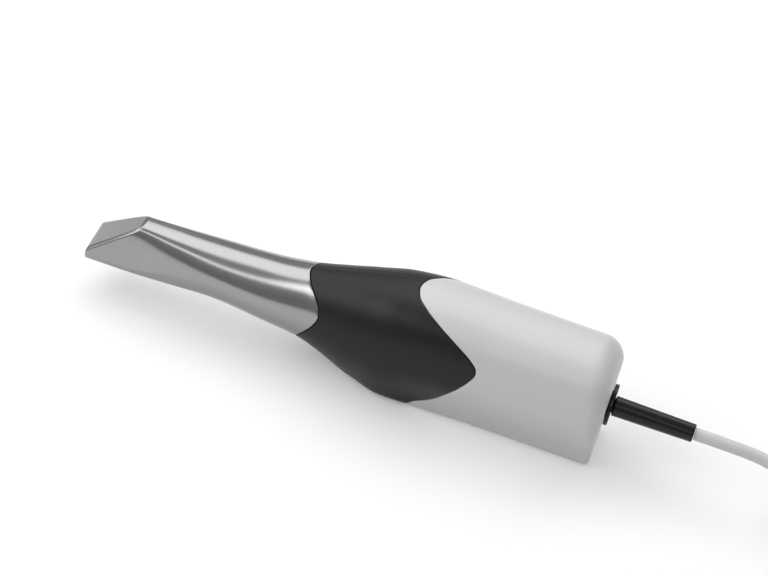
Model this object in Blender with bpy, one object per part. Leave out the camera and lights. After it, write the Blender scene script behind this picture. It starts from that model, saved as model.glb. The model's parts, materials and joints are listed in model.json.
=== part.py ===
"""Intraoral scanner handpiece: a steel sleeve on an optical nose, a black grip, a white body and its cable.

The handpiece lies on its keel. X runs from the tip to the cable, Z is up and the table is Z = 0. Places
along the handpiece are written from the tip, and the empty that carries every piece moves them so that
the middle of the handpiece with its strain relief is X = 0.
"""
import math

import bmesh
import bpy
import numpy as np
from mathutils import Matrix, Vector

MM = 0.001
FIT_GAP = 0.3 * MM
EDGE_GAP = 0.4 * MM

# Handpiece sizes
TIP_ROUNDING = 0.9 * MM
FACET_LENGTH = 21.0 * MM
FACET_FRONT_HEIGHT = 22.1 * MM
FACET_REAR_HEIGHT = 38.6 * MM
HANDPIECE_LENGTH = 253.0 * MM
CABLE_HEIGHT = 28.6 * MM
SLEEVE_WALL = 0.8 * MM
GRIP_WALL = 2.4 * MM
BODY_WALL = 2.0 * MM
REAR_WALL = 2.4 * MM
REAR_FILLET_TOP = 13.0 * MM
REAR_FILLET_SIDE = 6.0 * MM
REAR_FILLET_FOOT = 1.6 * MM
SPIGOT_LENGTH = 5.0 * MM
SPIGOT_WALL = 1.4 * MM

# Stations of the outer shape: place from the tip (share of the length), then in millimetres top, bottom and
# half width, then height of the widest point (share of the height), crown handles at the top and at the side
# (shares), lean of the side (degrees), half width and height of the foot (shares), lean of the foot (degrees)
# and the flat part of the foot (share)
STATIONS = (
    (0, 40.5, 16.0, 11.7, 0.16, 0.66, 0.93, 15.7, 0.99, 0.10, 3, 0.78),
    (0.083, 40.5, 16.2, 11.9, 0.16, 0.66, 0.93, 15.7, 0.97, 0.10, 3, 0.78),
    (0.158, 40.6, 16.8, 12.5, 0.33, 0.64, 0.82, 9, 0.93, 0.12, 8, 0.70),
    (0.237, 41.2, 17.7, 14.0, 0.46, 0.59, 0.65, 3, 0.87, 0.14, 25, 0.50),
    (0.336, 43.0, 13.4, 15.9, 0.50, 0.56, 0.56, 0, 0.74, 0.15, 42, 0.20),
    (0.419, 46.8, 10.4, 17.45, 0.50, 0.55, 0.55, 0, 0.72, 0.15, 44, 0.10),
    (0.474, 50.6, 6.1, 20.0, 0.49, 0.57, 0.57, 0, 0.71, 0.14, 40, 0.22),
    (0.534, 54.7, 1.4, 23.3, 0.49, 0.60, 0.60, 0, 0.71, 0.12, 32, 0.43),
    (0.593, 57.6, 0.1, 25.3, 0.51, 0.67, 0.65, 0, 0.77, 0.10, 20, 0.58),
    (0.664, 58.7, 0.0, 25.5, 0.53, 0.73, 0.70, 0, 0.69, 0.08, 10, 0.67),
    (0.79, 57.8, 0.0, 25.0, 0.53, 0.75, 0.72, 0, 0.63, 0.07, 3, 0.70),
    (1, 57.4, 0.0, 24.8, 0.53, 0.75, 0.72, 0, 0.63, 0.07, 0, 0.70),
)

# Edges where the shells meet: angle from straight up about the spine (degrees), place from the tip (share)
SPINE_HEIGHT = 29.0 * MM
EDGE_ROUNDS = 6
SLEEVE_EDGE = (
    (0, 0.412), (24, 0.421), (45, 0.4403), (62, 0.4537), (71, 0.4561),
    (86, 0.4498), (104, 0.4368), (127, 0.423), (180, 0.409),
)
GRIP_EDGE = (
    (0, 0.6134), (12, 0.6198), (24, 0.6415), (35, 0.674), (45, 0.7115), (54, 0.7431), (61, 0.7577),
    (66, 0.7597), (76, 0.7522), (90, 0.7368), (106, 0.7194), (124, 0.7028), (134, 0.6877),
    (146, 0.6522), (180, 0.6206),
)

# Handles of the lower half of a section: flank, as a share of its fall, and a round corner
FLANK_HANDLE = 0.36
ROUND_HANDLE = 0.5523

# Rings of the lofts: places in the sleeve and in the nose (shares of the length), besides those at the facet
SLEEVE_RINGS = (0.119, 0.15, 0.186, 0.221, 0.257, 0.292)
SLEEVE_INNER_RINGS = (0.292, 0.221, 0.15)
NOSE_RINGS = (0.134, 0.182, 0.237, 0.308)
NOSE_INNER_RINGS = (0.308, 0.237, 0.134)
SLEEVE_FLARE = 0.332 * HANDPIECE_LENGTH

# Points of a half girth: crown, flank, corner of the foot, flat of the foot
RIDGE_POINTS = 3
RIDGE_SHARE = 0.12
CROWN_POINTS = 9
FLANK_POINTS = 6
CORNER_POINTS = 3
FLAT_POINTS = 1

# Sleeve window and optics of the nose
WINDOW_START = 4.0 * MM
WINDOW_LENGTH = 17.0 * MM
WINDOW_WIDTH = 16.0 * MM
WINDOW_GLASS = 0.7 * MM
NOSE_CLEARANCE = 0.7 * MM
NOSE_WALL = 1.2 * MM
NOSE_ROOT = 5.6 * MM
NOSE_FLANGE = 3.0 * MM
NOSE_NECK = 8.0 * MM
NOSE_NECK_TAPER = 6.0 * MM
NOSE_NECK_INSET = 7.6 * MM
COLLAR_LENGTH = 7.0 * MM
COLLAR_SETBACK = 5.5 * MM
COLLAR_CHAMFER = 0.6 * MM
MIRROR_START = 5.0 * MM
MIRROR_LENGTH = 14.0 * MM
MIRROR_THICKNESS = 1.2 * MM
LIGHT_PORT_LENGTH = 15.5 * MM
LIGHT_PORT_WIDTH = 14.0 * MM
RELAY_LENS_DIAMETER = 13.0 * MM
RELAY_LENS_THICKNESS = 3.2 * MM
RELAY_LENS_BULGE = 1.2 * MM
RELAY_MOUNT_LENGTH = 4.0 * MM
RELAY_PLACES = {"front": 0.48, "rear": 0.694}

# Places in the nose: its root lies behind the sleeve's longest edge, its collar inside the shortest
NOSE_LENGTH = max(place for _, place in SLEEVE_EDGE) * HANDPIECE_LENGTH + NOSE_ROOT
NECK_FULL = NOSE_LENGTH - NOSE_FLANGE - NOSE_NECK
NECK_START = NECK_FULL - NOSE_NECK_TAPER
COLLAR_START = min(place for _, place in SLEEVE_EDGE) * HANDPIECE_LENGTH - COLLAR_SETBACK - COLLAR_LENGTH

# Optical bench
BULKHEAD = 3.0 * MM
BENCH_START = NOSE_LENGTH + FIT_GAP
BENCH_SETBACK = 27.0 * MM
BENCH_END = HANDPIECE_LENGTH - BENCH_SETBACK
DECK_BOTTOM = 12.0 * MM
FRONT_DECK_BOTTOM = 14.6 * MM
DECK_THICKNESS = 3.0 * MM
DECK_HALF_WIDTH = 10.0 * MM
LIGHT_BORE = 17.0 * MM
FLANGE_SCREW_INSET = 5.6 * MM
SCREW_DIAMETER = 1.6 * MM
SCREW_HEAD = 3.0 * MM
SCREW_HEAD_HEIGHT = 1.2 * MM
SCREW_GRIP = 2.0 * MM

# Focus drive
ROD_DIAMETER = 3.0 * MM
ROD_OFFSET = 13.0 * MM
ROD_STOP = 1.2 * MM
FOCUS_SHARE = 0.198
FOCUS_LENGTH = 8.0 * MM
FOCUS_TRAVEL = 3.0 * MM
FOCUS_LENS_DIAMETER = 15.0 * MM
FOCUS_LENS_THICKNESS = 4.0 * MM
CARRIAGE_HALF_WIDTH = 16.0 * MM
CARRIAGE_BELOW = 10.1 * MM
CARRIAGE_ABOVE = 8.9 * MM
COIL_ABOVE = 15.4 * MM
COIL_BORE = 7.0 * MM
COIL_OUTER = 9.6 * MM
COIL_LENGTH = 6.0 * MM
YOKE_OUTER = 14.0 * MM
YOKE_WALL = 1.6 * MM
YOKE_DEPTH = 8.0 * MM
YOKE_CORE = 5.4 * MM
YOKE_SPARE = 1.8 * MM
FOCUS_PLACE = BENCH_START + FOCUS_SHARE * (BENCH_END - BENCH_START)
COIL_END = FOCUS_PLACE + FOCUS_LENGTH + FIT_GAP + COIL_LENGTH
MID_BULKHEAD = COIL_END + FOCUS_TRAVEL + YOKE_SPARE + YOKE_WALL + FIT_GAP

# Beam splitter, projector and sensor
SPLITTER_SIZE = 14.0 * MM
SPLITTER_SETBACK = 11.0 * MM
SPLITTER_PLACE = MID_BULKHEAD + BULKHEAD + SPLITTER_SETBACK
HOUSING_WALL = 2.6 * MM
BARREL_OUTER = 17.0 * MM
BARREL_BORE = 12.6 * MM
BARREL_HEIGHT = 5.0 * MM
CONDENSER_THICKNESS = 3.0 * MM
CONDENSER_BULGE = 0.6 * MM
LED_SIZE = 4.0 * MM
LED_HEIGHT = 0.9 * MM
BOARD_THICKNESS = 1.2 * MM
LED_BOARD_SIZE = 17.0 * MM
SINK_BASE = 1.5 * MM
SINK_FIN_HEIGHT = 4.6 * MM
SINK_FIN = 1.2 * MM
SINK_FINS = 5
SINK_LENGTH = 20.0 * MM
SINK_WIDTH = 17.0 * MM
SENSOR_SETBACK = 9.0 * MM
SENSOR_PLACE = SPLITTER_PLACE + SPLITTER_SIZE + SENSOR_SETBACK
SENSOR_BOARD_WIDTH = 24.0 * MM
SENSOR_BOARD_HEIGHT = 27.0 * MM
SENSOR_CHIP_WIDTH = 14.0 * MM
SENSOR_CHIP_HEIGHT = 11.0 * MM
SENSOR_CHIP_THICKNESS = 1.6 * MM

# Main board
BOARD_LENGTH = 49.0 * MM
BOARD_SETBACK = 5.0 * MM
BOARD_END = BENCH_END - BOARD_SETBACK
BOARD_START = BOARD_END - BOARD_LENGTH
BOARD_HALF_WIDTH = 12.0 * MM
BOARD_BOTTOM = 6.3 * MM
STANDOFF_DIAMETER = 4.4 * MM
STANDOFF_INSET_X = 4.0 * MM
STANDOFF_INSET_Y = 4.0 * MM
PROCESSOR_SIZE = 14.0 * MM
PROCESSOR_THICKNESS = 1.4 * MM
CONNECTOR_LENGTH = 8.0 * MM
CONNECTOR_WIDTH = 10.0 * MM
CONNECTOR_HEIGHT = 3.2 * MM

# Scan button on the underside of the grip
BUTTON_PLACE = 0.53 * HANDPIECE_LENGTH
BUTTON_DIAMETER = 12.0 * MM
BUTTON_TRAVEL = 0.8 * MM
BUTTON_PROUD = 0.5 * MM
BUTTON_CAP = 1.8 * MM
BUTTON_STEM = 3.0 * MM
BUTTON_RING_OUTER = 16.4 * MM
BUTTON_RING_DEPTH = 2.6 * MM
BUTTON_BOARD_DEPTH = 5.6 * MM
BUTTON_HOUSING_WALL = 1.2 * MM
SWITCH_SIZE = 4.4 * MM
SWITCH_HEIGHT = 0.9 * MM
SPRING_WIRE = 0.5 * MM
SPRING_TURNS = 3.5
SPRING_STEPS = 10

# Gland, strain relief and cable
GLAND_DIAMETER = 20.0 * MM
GLAND_FLANGE = 2.0 * MM
GLAND_CHAMFER = 0.8 * MM
GLAND_SHANK = 12.4 * MM
NUT_DIAMETER = 18.0 * MM
NUT_THICKNESS = 2.6 * MM
RELIEF_ROOT = 9.6 * MM
RELIEF_END = 8.6 * MM
RELIEF_LENGTH = 38.6 * MM
RELIEF_SHANK = 6.4 * MM
RELIEF_EDGE = 1.2 * MM
CLAMP_DIAMETER = 11.0 * MM
CLAMP_LENGTH = 3.4 * MM
LEAD_DIAMETER = 3.6 * MM
CABLE_DIAMETER = 6.0 * MM
RELIEF_START = HANDPIECE_LENGTH + FIT_GAP + GLAND_FLANGE + FIT_GAP
RELIEF_FINISH = RELIEF_START + RELIEF_LENGTH
MIDDLE = RELIEF_FINISH / 2

# Cable beyond the strain relief, in metres from the middle of the handpiece: hand-chosen points of its route,
# the hank of its spare length with its tie, and the plug that lies on the hank
CABLE_ROUTE = (
    (0.1474, 0.0, 0.0286), (0.1580, 0.0, 0.0286), (0.1680, 0.0, 0.0285), (0.1770, 0.0, 0.0281),
    (0.1860, -0.0012, 0.0273), (0.1950, -0.0042, 0.0261), (0.2040, -0.0080, 0.0246),
    (0.2130, -0.0117, 0.0233), (0.2212, -0.0144, 0.0225), (0.2300, -0.0155, 0.0221),
    (0.2400, -0.0155, 0.0221),
)
HANK_CENTRE = (0.2520, 0.0105)
HANK_RUN = 0.0615
HANK_FOLDS = (0.0200, 0.0260)
HANK_LAYERS = 3
HANK_LOW = 0.0008
HANK_TOP = HANK_LOW + HANK_LAYERS * CABLE_DIAMETER
TAIL_START = 0.0060
TAIL_HEIGHT = 0.0221
TAIL_ROUTE = (
    (0.2828, 0.0305, 0.0221), (0.2770, 0.0309, 0.0222), (0.2710, 0.0322, 0.0226), (0.2665, 0.0333, 0.0230),
    (0.2640, 0.0335, 0.0231),
)
TIE_PLACE = (0.2235, 0.2315)
TIE_THICKNESS = 0.0005
PLUG_REAR = (0.2637, 0.0335, 0.0231)
PLUG_SIZE = (0.0220, 0.0120, 0.0080)
PLUG_SHELL_SIZE = (0.0067, 0.0083, 0.0026)
PLUG_SHELL_WALL = 0.0003


def clear_scene():
    for thing in list(bpy.context.scene.objects):
        bpy.data.objects.remove(thing, do_unlink=True)


def make_material(name, colour, roughness, metallic=0.0, transmission=0.0):
    material = bpy.data.materials.new(name)
    material.use_nodes = True
    shader = material.node_tree.nodes["Principled BSDF"]
    shader.inputs["Base Color"].default_value = (*colour, 1.0)
    shader.inputs["Roughness"].default_value = roughness
    shader.inputs["Metallic"].default_value = metallic
    shader.inputs["Transmission Weight"].default_value = transmission
    material.diffuse_color = (*colour, 1.0)
    return material


# Shape of the handpiece along its length

def monotone_slopes(places, values):
    """Slopes of a smooth curve through the points that never swings past them."""
    steps = np.diff(places)
    rises = np.diff(values) / steps
    slopes = np.zeros(len(places))
    slopes[0] = rises[0]
    slopes[-1] = rises[-1]
    for k in range(1, len(places) - 1):
        if rises[k - 1] * rises[k] > 0:
            before = 2 * steps[k] + steps[k - 1]
            after = steps[k] + 2 * steps[k - 1]
            slopes[k] = (before + after) / (before / rises[k - 1] + after / rises[k])
    return slopes


def smooth_value(place, places, values, slopes):
    k = int(np.clip(np.searchsorted(places, place) - 1, 0, len(places) - 2))
    step = places[k + 1] - places[k]
    t = min(max((place - places[k]) / step, 0.0), 1.0)
    start = (1 + 2 * t) * (1 - t) ** 2 * values[k] + t * (1 - t) ** 2 * step * slopes[k]
    return start + t * t * (3 - 2 * t) * values[k + 1] + t * t * (t - 1) * step * slopes[k + 1]


STATION_PLACES = np.array([row[0] for row in STATIONS]) * HANDPIECE_LENGTH
STATION_VALUES = np.array([row[1:] for row in STATIONS], dtype=float).T
STATION_VALUES[:3] *= MM
STATION_SLOPES = [monotone_slopes(STATION_PLACES, values) for values in STATION_VALUES]


def section_values(place):
    return [
        smooth_value(place, STATION_PLACES, values, slopes)
        for values, slopes in zip(STATION_VALUES, STATION_SLOPES)
    ]


def edge_curve(points):
    """An edge as a function of the angle from straight up, level where it crosses the top."""
    mirrored = [(-points[1][0], points[1][1])] + list(points)
    angles = np.radians([p[0] for p in mirrored])
    places = np.array([p[1] for p in mirrored]) * HANDPIECE_LENGTH
    slopes = monotone_slopes(angles, places)
    return lambda angle: smooth_value(angle, angles, places, slopes)


sleeve_edge = edge_curve(SLEEVE_EDGE)
grip_edge = edge_curve(GRIP_EDGE)

# The optical axis runs midway up the sleeve at the front relay lens, and the voice coil's axis above it
AXIS_HEIGHT = sum(section_values(RELAY_PLACES["front"] * NOSE_LENGTH)[:2]) / 2
COIL_AXIS_HEIGHT = AXIS_HEIGHT + COIL_ABOVE


def bezier(a, b, c, d, t):
    return a * (1 - t) ** 3 + b * 3 * (1 - t) ** 2 * t + c * 3 * (1 - t) * t * t + d * t**3


def facet_slope():
    return math.atan2(FACET_REAR_HEIGHT - FACET_FRONT_HEIGHT, FACET_LENGTH)


def facet_height(place):
    return FACET_FRONT_HEIGHT + math.tan(facet_slope()) * place


def facet_places():
    """Ring places where the facet ends: its corners, the end of its ridges and the crown behind it."""
    return [FACET_LENGTH - 1.0 * MM, FACET_LENGTH + 0.5 * MM, FACET_LENGTH + 3.0 * MM]


def half_section(place, shrink=0.0, floor=0.0):
    """The outline of one side at a place, top to bottom, as rows of (half width, height).

    A piece that nests inside takes the same outline, shrunk on every side and kept above a floor.
    """
    values = section_values(place)
    top, bottom, width, side, handle_top, handle_side, lean, foot_width, foot_height, foot_lean, flat = values
    top -= shrink
    bottom = max(bottom + shrink, floor)
    width -= shrink
    cut_height = facet_height(place) - shrink / math.cos(facet_slope())
    height = top - bottom
    crest = np.array([0.0, top])
    widest = np.array([width, bottom + side * height])
    knee = np.array([width * foot_width, bottom + foot_height * height])
    foot = np.array([knee[0] * flat, bottom])
    lean_up = np.array([-math.tan(math.radians(lean)), 1.0])
    lean_down = np.array([-math.sin(math.radians(foot_lean)), -math.cos(math.radians(foot_lean))])
    rise = top - widest[1]
    crown = [crest, crest + [handle_top * width, 0.0], widest + lean_up * handle_side * rise, widest]
    fall = FLANK_HANDLE * (widest[1] - knee[1])
    flank = [widest, widest - [0.0, fall], knee - lean_down * fall, knee]
    knee_handle = lean_down * ROUND_HANDLE * (knee[1] - bottom)
    foot_handle = [ROUND_HANDLE * (knee[0] - foot[0]), 0.0]
    around = [knee, knee + knee_handle, foot + foot_handle, foot]

    ridge = ridge_parameter(crown, cut_height)
    points = []
    for i in range(RIDGE_POINTS):
        point = bezier(*crown, ridge * i / RIDGE_POINTS)
        points.append(np.array([point[0], min(point[1], cut_height)]))
    crown_rest = CROWN_POINTS - RIDGE_POINTS
    points += [bezier(*crown, ridge + (1 - ridge) * i / crown_rest) for i in range(crown_rest)]
    points += [bezier(*flank, i / FLANK_POINTS) for i in range(FLANK_POINTS)]
    points += [bezier(*around, i / CORNER_POINTS) for i in range(CORNER_POINTS)]
    points += [foot + (np.array([0.0, bottom]) - foot) * i / FLAT_POINTS for i in range(FLAT_POINTS + 1)]
    return np.array(points)


def ridge_parameter(crown, height):
    """Where the crown drops to the height of the facet; behind the facet the ridge line keeps one share."""
    low = 0.0
    high = 1.0
    for _ in range(40):
        middle = (low + high) / 2
        if bezier(*crown, middle)[1] > height:
            low = middle
        else:
            high = middle
    return max(low, RIDGE_SHARE)


HALF_POINTS = CROWN_POINTS + FLANK_POINTS + CORNER_POINTS + FLAT_POINTS + 1


def outward_normals(points):
    along = np.gradient(points, axis=0)
    along[0] = (1.0, 0.0)
    along[-1] = (-1.0, 0.0)
    normals = np.column_stack([-along[:, 1], along[:, 0]])
    return normals / np.linalg.norm(normals, axis=1)[:, None]


def inset_half(place, inset):
    """The outline moved inwards: inset is one distance, or one for each point."""
    points = half_section(place)
    depths = np.broadcast_to(inset, len(points))
    moved = points - outward_normals(points) * depths[:, None]
    moved[0, 0] = 0.0
    moved[-1, 0] = 0.0
    return moved


def both_sides(half, places):
    """A closed ring: down the near side (-Y) and up the far side, from half outlines and their places."""
    near = [Vector((x, -p[0], p[1])) for x, p in zip(places, half)]
    far = [Vector((x, p[0], p[1])) for x, p in zip(places, half)]
    return near + far[-2:0:-1]


def level_ring(place, inset=0.0, floor=None):
    half = inset_half(place, inset)
    if floor is not None:
        half[:, 1] = np.maximum(half[:, 1], floor)
    return both_sides(half, [place] * HALF_POINTS)


def shrunk_ring(place, shrink, floor=0.0):
    return both_sides(half_section(place, shrink, floor), [place] * HALF_POINTS)


def edge_ring(edge_places, inset=0.0):
    """A ring whose points lie at their own places, such as along the edge of a shell."""
    depths = np.broadcast_to(inset, HALF_POINTS)
    half = [inset_half(x, depths[i])[i] for i, x in enumerate(edge_places)]
    return both_sides(half, edge_places)


def places_along(edge, gap=0.0):
    """Places of the points of a ring along an edge, or a gap behind it, measured square to the edge.

    Each point settles where the edge has that point's angle.
    """
    places = np.full(HALF_POINTS, edge(0))
    for _ in range(EDGE_ROUNDS):
        points = np.array([half_section(place)[i] for i, place in enumerate(places)])
        places = np.array([edge(math.atan2(across, up - SPINE_HEIGHT)) for across, up in points])
    girth_steps = np.linalg.norm(np.gradient(points, axis=0), axis=1)
    return places + gap * np.hypot(1, np.gradient(places) / girth_steps)


def between(first, last, t):
    return first * (1 - t) + last * t


# Mesh helpers

def new_object(name, bm, material, smooth=True):
    bmesh.ops.recalc_face_normals(bm, faces=bm.faces)
    mesh = bpy.data.meshes.new(name)
    bm.to_mesh(mesh)
    bm.free()
    mesh.materials.append(material)
    thing = bpy.data.objects.new(name, mesh)
    bpy.context.scene.collection.objects.link(thing)
    if smooth:
        mesh.shade_smooth()
        mesh.set_sharp_from_angle(angle=math.radians(35))
    thing.parent = FRAME
    return thing


def loft(name, rings, material, closed=False, wall=0):
    """A body through rings of equal counts: capped at its ends, or closed on itself as a shell.

    A closed loft with a wall is a cup: no band joins the ring before the wall to the ring behind it, and
    both are filled instead.
    """
    bm = bmesh.new()
    rows = [[bm.verts.new(point) for point in ring] for ring in rings]
    count = len(rows[0])
    pairs = list(zip(rows, rows[1:]))
    caps = [] if closed else [rows[0], rows[-1]]
    if closed:
        pairs.append((rows[-1], rows[0]))
    if wall:
        pairs.remove((rows[wall - 1], rows[wall]))
        caps = [rows[wall - 1], rows[wall]]
    for first, second in pairs:
        for i in range(count):
            j = (i + 1) % count
            bm.faces.new((first[i], first[j], second[j], second[i]))
    for cap in caps:
        bm.faces.new(cap)
    return new_object(name, bm, material)


def turned(name, profile, material, axis_point, axis=(1, 0, 0), steps=20):
    """A solid of revolution: profile rows are (distance along the axis, radius) round a closed section.

    A profile that starts and ends on the axis is a solid rod. Any other is closed on itself as a ring.
    """
    axis = Vector(axis).normalized()
    turn = Vector((0, 0, 1)).rotation_difference(axis).to_matrix()
    start = Vector(axis_point)
    bm = bmesh.new()
    solid = profile[0][1] == 0 and profile[-1][1] == 0
    rows = []
    for along, radius in profile:
        if radius == 0:
            rows.append([bm.verts.new(start + turn @ Vector((0, 0, along)))])
            continue
        ring = []
        for k in range(steps):
            angle = 2 * math.pi * (k + 0.5) / steps
            spot = Vector((radius * math.cos(angle), radius * math.sin(angle), along))
            ring.append(bm.verts.new(start + turn @ spot))
        rows.append(ring)
    pairs = list(zip(rows, rows[1:]))
    if not solid:
        pairs.append((rows[-1], rows[0]))
    for first, second in pairs:
        for k in range(steps):
            j = (k + 1) % steps
            near = first[k:k + 1] + first[j:j + 1] if len(first) > 1 else first
            far = second[j:j + 1] + second[k:k + 1] if len(second) > 1 else second
            bm.faces.new(near + far)
    return new_object(name, bm, material)


def ring_profile(start, end, bore, outer):
    """The profile of a plain ring for a turned piece, from its two places and its two diameters."""
    return [(start, bore / 2), (start, outer / 2), (end, outer / 2), (end, bore / 2)]


def block(name, low, high, material, bevel=0.0):
    """A box from its lowest to its highest corner, with bevelled edges where a width is given."""
    bm = bmesh.new()
    bmesh.ops.create_cube(bm, size=1.0)
    size = Vector(high) - Vector(low)
    middle = (Vector(high) + Vector(low)) / 2
    bmesh.ops.scale(bm, vec=size, verts=bm.verts)
    bmesh.ops.translate(bm, vec=middle, verts=bm.verts)
    if bevel:
        bmesh.ops.bevel(bm, geom=bm.edges[:], offset=bevel, segments=1, affect="EDGES", clamp_overlap=True)
    return new_object(name, bm, material, smooth=False)


def boolean(thing, tool, operation):
    tool.hide_render = True
    tool.display_type = "WIRE"
    modifier = thing.modifiers.new(operation.lower() + "_" + tool.name, "BOOLEAN")
    modifier.operation = operation
    modifier.solver = "EXACT"
    modifier.object = tool


def cut(thing, *tools):
    for tool in tools:
        boolean(thing, tool, "DIFFERENCE")


def add(thing, *tools):
    for tool in tools:
        boolean(thing, tool, "UNION")


def rod(name, start, end, diameter, material, steps=16):
    start = Vector(start)
    along = Vector(end) - start
    profile = [(0, 0), (0, diameter / 2), (along.length, diameter / 2), (along.length, 0)]
    return turned(name, profile, material, start, along, steps)


def lens(name, centre, axis, diameter, thickness, bulge, material, steps=20):
    """A lens with two domed faces and a straight edge."""
    radius = diameter / 2
    rim = thickness / 2
    profile = [(-rim - bulge, 0)]
    profile += [(-rim - bulge * (1 - share**2), radius * share) for share in (0.5, 1.0)]
    profile += [(rim + bulge * (1 - share**2), radius * share) for share in (1.0, 0.5)]
    profile.append((rim + bulge, 0))
    return turned(name, profile, material, centre, axis, steps)


def screw(name, head_point, axis, grip, material):
    """A small cap screw: the head stands against the axis, and the shank runs along it."""
    head = SCREW_HEAD / 2
    shank = SCREW_DIAMETER / 2
    profile = [
        (-SCREW_HEAD_HEIGHT, 0), (-SCREW_HEAD_HEIGHT, head * 0.86), (-SCREW_HEAD_HEIGHT * 0.8, head),
        (0, head), (0, shank), (grip, shank), (grip, 0),
    ]
    return turned(name, profile, material, head_point, axis, steps=8)


# Sleeve, grip and body

def make_sleeve(steel, glass):
    """The pull-off steel sleeve, closed at its tip, with a window in the underside of the tip."""
    rear = places_along(sleeve_edge)
    rings = []
    for x in (0.0, TIP_ROUNDING * 0.3, TIP_ROUNDING):
        rounding = TIP_ROUNDING - math.sqrt(TIP_ROUNDING**2 - (TIP_ROUNDING - x) ** 2)
        rings.append(shrunk_ring(x, rounding))
    along = facet_places() + [x * HANDPIECE_LENGTH for x in SLEEVE_RINGS] + [SLEEVE_FLARE]
    rings += [level_ring(x) for x in along]
    front = np.full(HALF_POINTS, SLEEVE_FLARE)
    rings += [edge_ring(between(front, rear, t)) for t in (0.3, 0.65, 1.0)]
    rings += [edge_ring(between(front, rear, t), SLEEVE_WALL) for t in (1.0, 0.5)]
    back = [SLEEVE_FLARE] + [x * HANDPIECE_LENGTH for x in SLEEVE_INNER_RINGS] + facet_places()[::-1]
    rings += [shrunk_ring(x, SLEEVE_WALL) for x in back]
    rings.append(shrunk_ring(TIP_ROUNDING + SLEEVE_WALL, SLEEVE_WALL))
    sleeve = loft("sleeve_shell", rings, steel)
    side = WINDOW_WIDTH / 2
    floor = section_values(WINDOW_START)[1]
    opening = block(
        "window_opening",
        (WINDOW_START, -side, floor - 3 * MM),
        (WINDOW_START + WINDOW_LENGTH, side, floor + SLEEVE_WALL + 1 * MM),
        steel,
    )
    cut(sleeve, opening)
    block(
        "sleeve_window",
        (WINDOW_START + FIT_GAP, FIT_GAP - side, floor + FIT_GAP),
        (WINDOW_START + WINDOW_LENGTH - FIT_GAP, side - FIT_GAP, floor + FIT_GAP + WINDOW_GLASS),
        glass,
    )


def make_grip(black):
    """The black grip shell: it starts at the sleeve's edge and ends in a spigot inside the body."""
    front = places_along(sleeve_edge, EDGE_GAP)
    rear = places_along(grip_edge)
    spigot = BODY_WALL + FIT_GAP
    steps = (0, 0.05, 0.16, 0.28, 0.4, 0.52, 0.64, 0.76, 0.88, 1.0)
    rings = [edge_ring(between(front, rear, t)) for t in steps]
    end = rear + SPIGOT_LENGTH
    rings += [edge_ring(rear, spigot), edge_ring(end, spigot)]
    rings += [edge_ring(end, spigot + SPIGOT_WALL), edge_ring(rear - SPIGOT_LENGTH, spigot + SPIGOT_WALL)]
    rings += [edge_ring(between(front, rear, t), GRIP_WALL) for t in (0.8, 0.6, 0.4, 0.2, 0.0)]
    grip = loft("grip_shell", rings, black, closed=True)
    reach = 6 * MM
    hole = rod(
        "button_hole", button_point(-reach), button_point(reach), BUTTON_RING_OUTER + 2 * FIT_GAP, black, 28,
    )
    cut(grip, hole)


def rear_fillet():
    """Fillet of the rear edge at each point of the half girth: largest at the top, small at the foot."""
    side = CROWN_POINTS
    foot = CROWN_POINTS + FLANK_POINTS
    sizes = []
    for i in range(HALF_POINTS):
        if i <= side:
            sizes.append(between(REAR_FILLET_TOP, REAR_FILLET_SIDE, (i / side) ** 2))
        elif i <= foot:
            sizes.append(between(REAR_FILLET_SIDE, REAR_FILLET_FOOT, (i - side) / (foot - side)))
        else:
            sizes.append(REAR_FILLET_FOOT)
    return np.array(sizes)


def make_body(white):
    """The white body: a cup with its mouth at the grip's edge, a flat keel and a rounded rear end."""
    front = places_along(grip_edge, EDGE_GAP)
    fillet = rear_fillet()
    straight = HANDPIECE_LENGTH - REAR_FILLET_TOP
    start = np.full(HALF_POINTS, straight)
    rings = [edge_ring(between(front, start, t)) for t in (0, 0.15, 0.35, 0.6, 0.85)]
    for angle in (0, 24, 48, 70, 90):
        turn = math.radians(angle)
        places = HANDPIECE_LENGTH - fillet * (1 - math.sin(turn))
        rings.append(edge_ring(places, fillet * (1 - math.cos(turn))))
    wall = len(rings)
    inner_end = HANDPIECE_LENGTH - REAR_WALL
    rings.append(level_ring(inner_end, fillet + BODY_WALL))
    rings.append(level_ring(inner_end - fillet[0] * 0.4, fillet * 0.3 + BODY_WALL))
    rings.append(level_ring(inner_end - fillet[0], BODY_WALL))
    inner = np.full(HALF_POINTS, inner_end - fillet[0])
    rings += [edge_ring(between(inner, front + SPIGOT_LENGTH, t), BODY_WALL) for t in (0.3, 0.65, 1.0)]
    rings.append(edge_ring(front, BODY_WALL))
    body = loft("body_shell", rings, white, closed=True, wall=wall)
    hole = rod(
        "cable_hole",
        (HANDPIECE_LENGTH - REAR_WALL - 3 * MM, 0, CABLE_HEIGHT),
        (HANDPIECE_LENGTH + 3 * MM, 0, CABLE_HEIGHT),
        GLAND_SHANK + 2 * FIT_GAP,
        white,
        24,
    )
    cut(body, hole)


# Nose

def nose_inset(place):
    """Inset of the nose from the outer shape: close inside the sleeve, clear of the grip."""
    near_tip = SLEEVE_WALL + NOSE_CLEARANCE
    at_root = GRIP_WALL + 2 * FIT_GAP
    t = min(max((place - FACET_LENGTH) / (COLLAR_START - FACET_LENGTH), 0.0), 1.0)
    return between(near_tip, at_root, t)


def nose_floor(place, wall=0.0):
    """The nose stays above the lowest line that the sleeve's floor clears when it is pulled off."""
    ahead = np.linspace(place, max(place, sleeve_edge(math.pi)), 12)
    return max(section_values(x)[1] for x in ahead) + SLEEVE_WALL + NOSE_CLEARANCE + wall


def nose_ring(place, wall=0.0):
    return shrunk_ring(place, nose_inset(place) + wall, nose_floor(place, wall))


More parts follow.
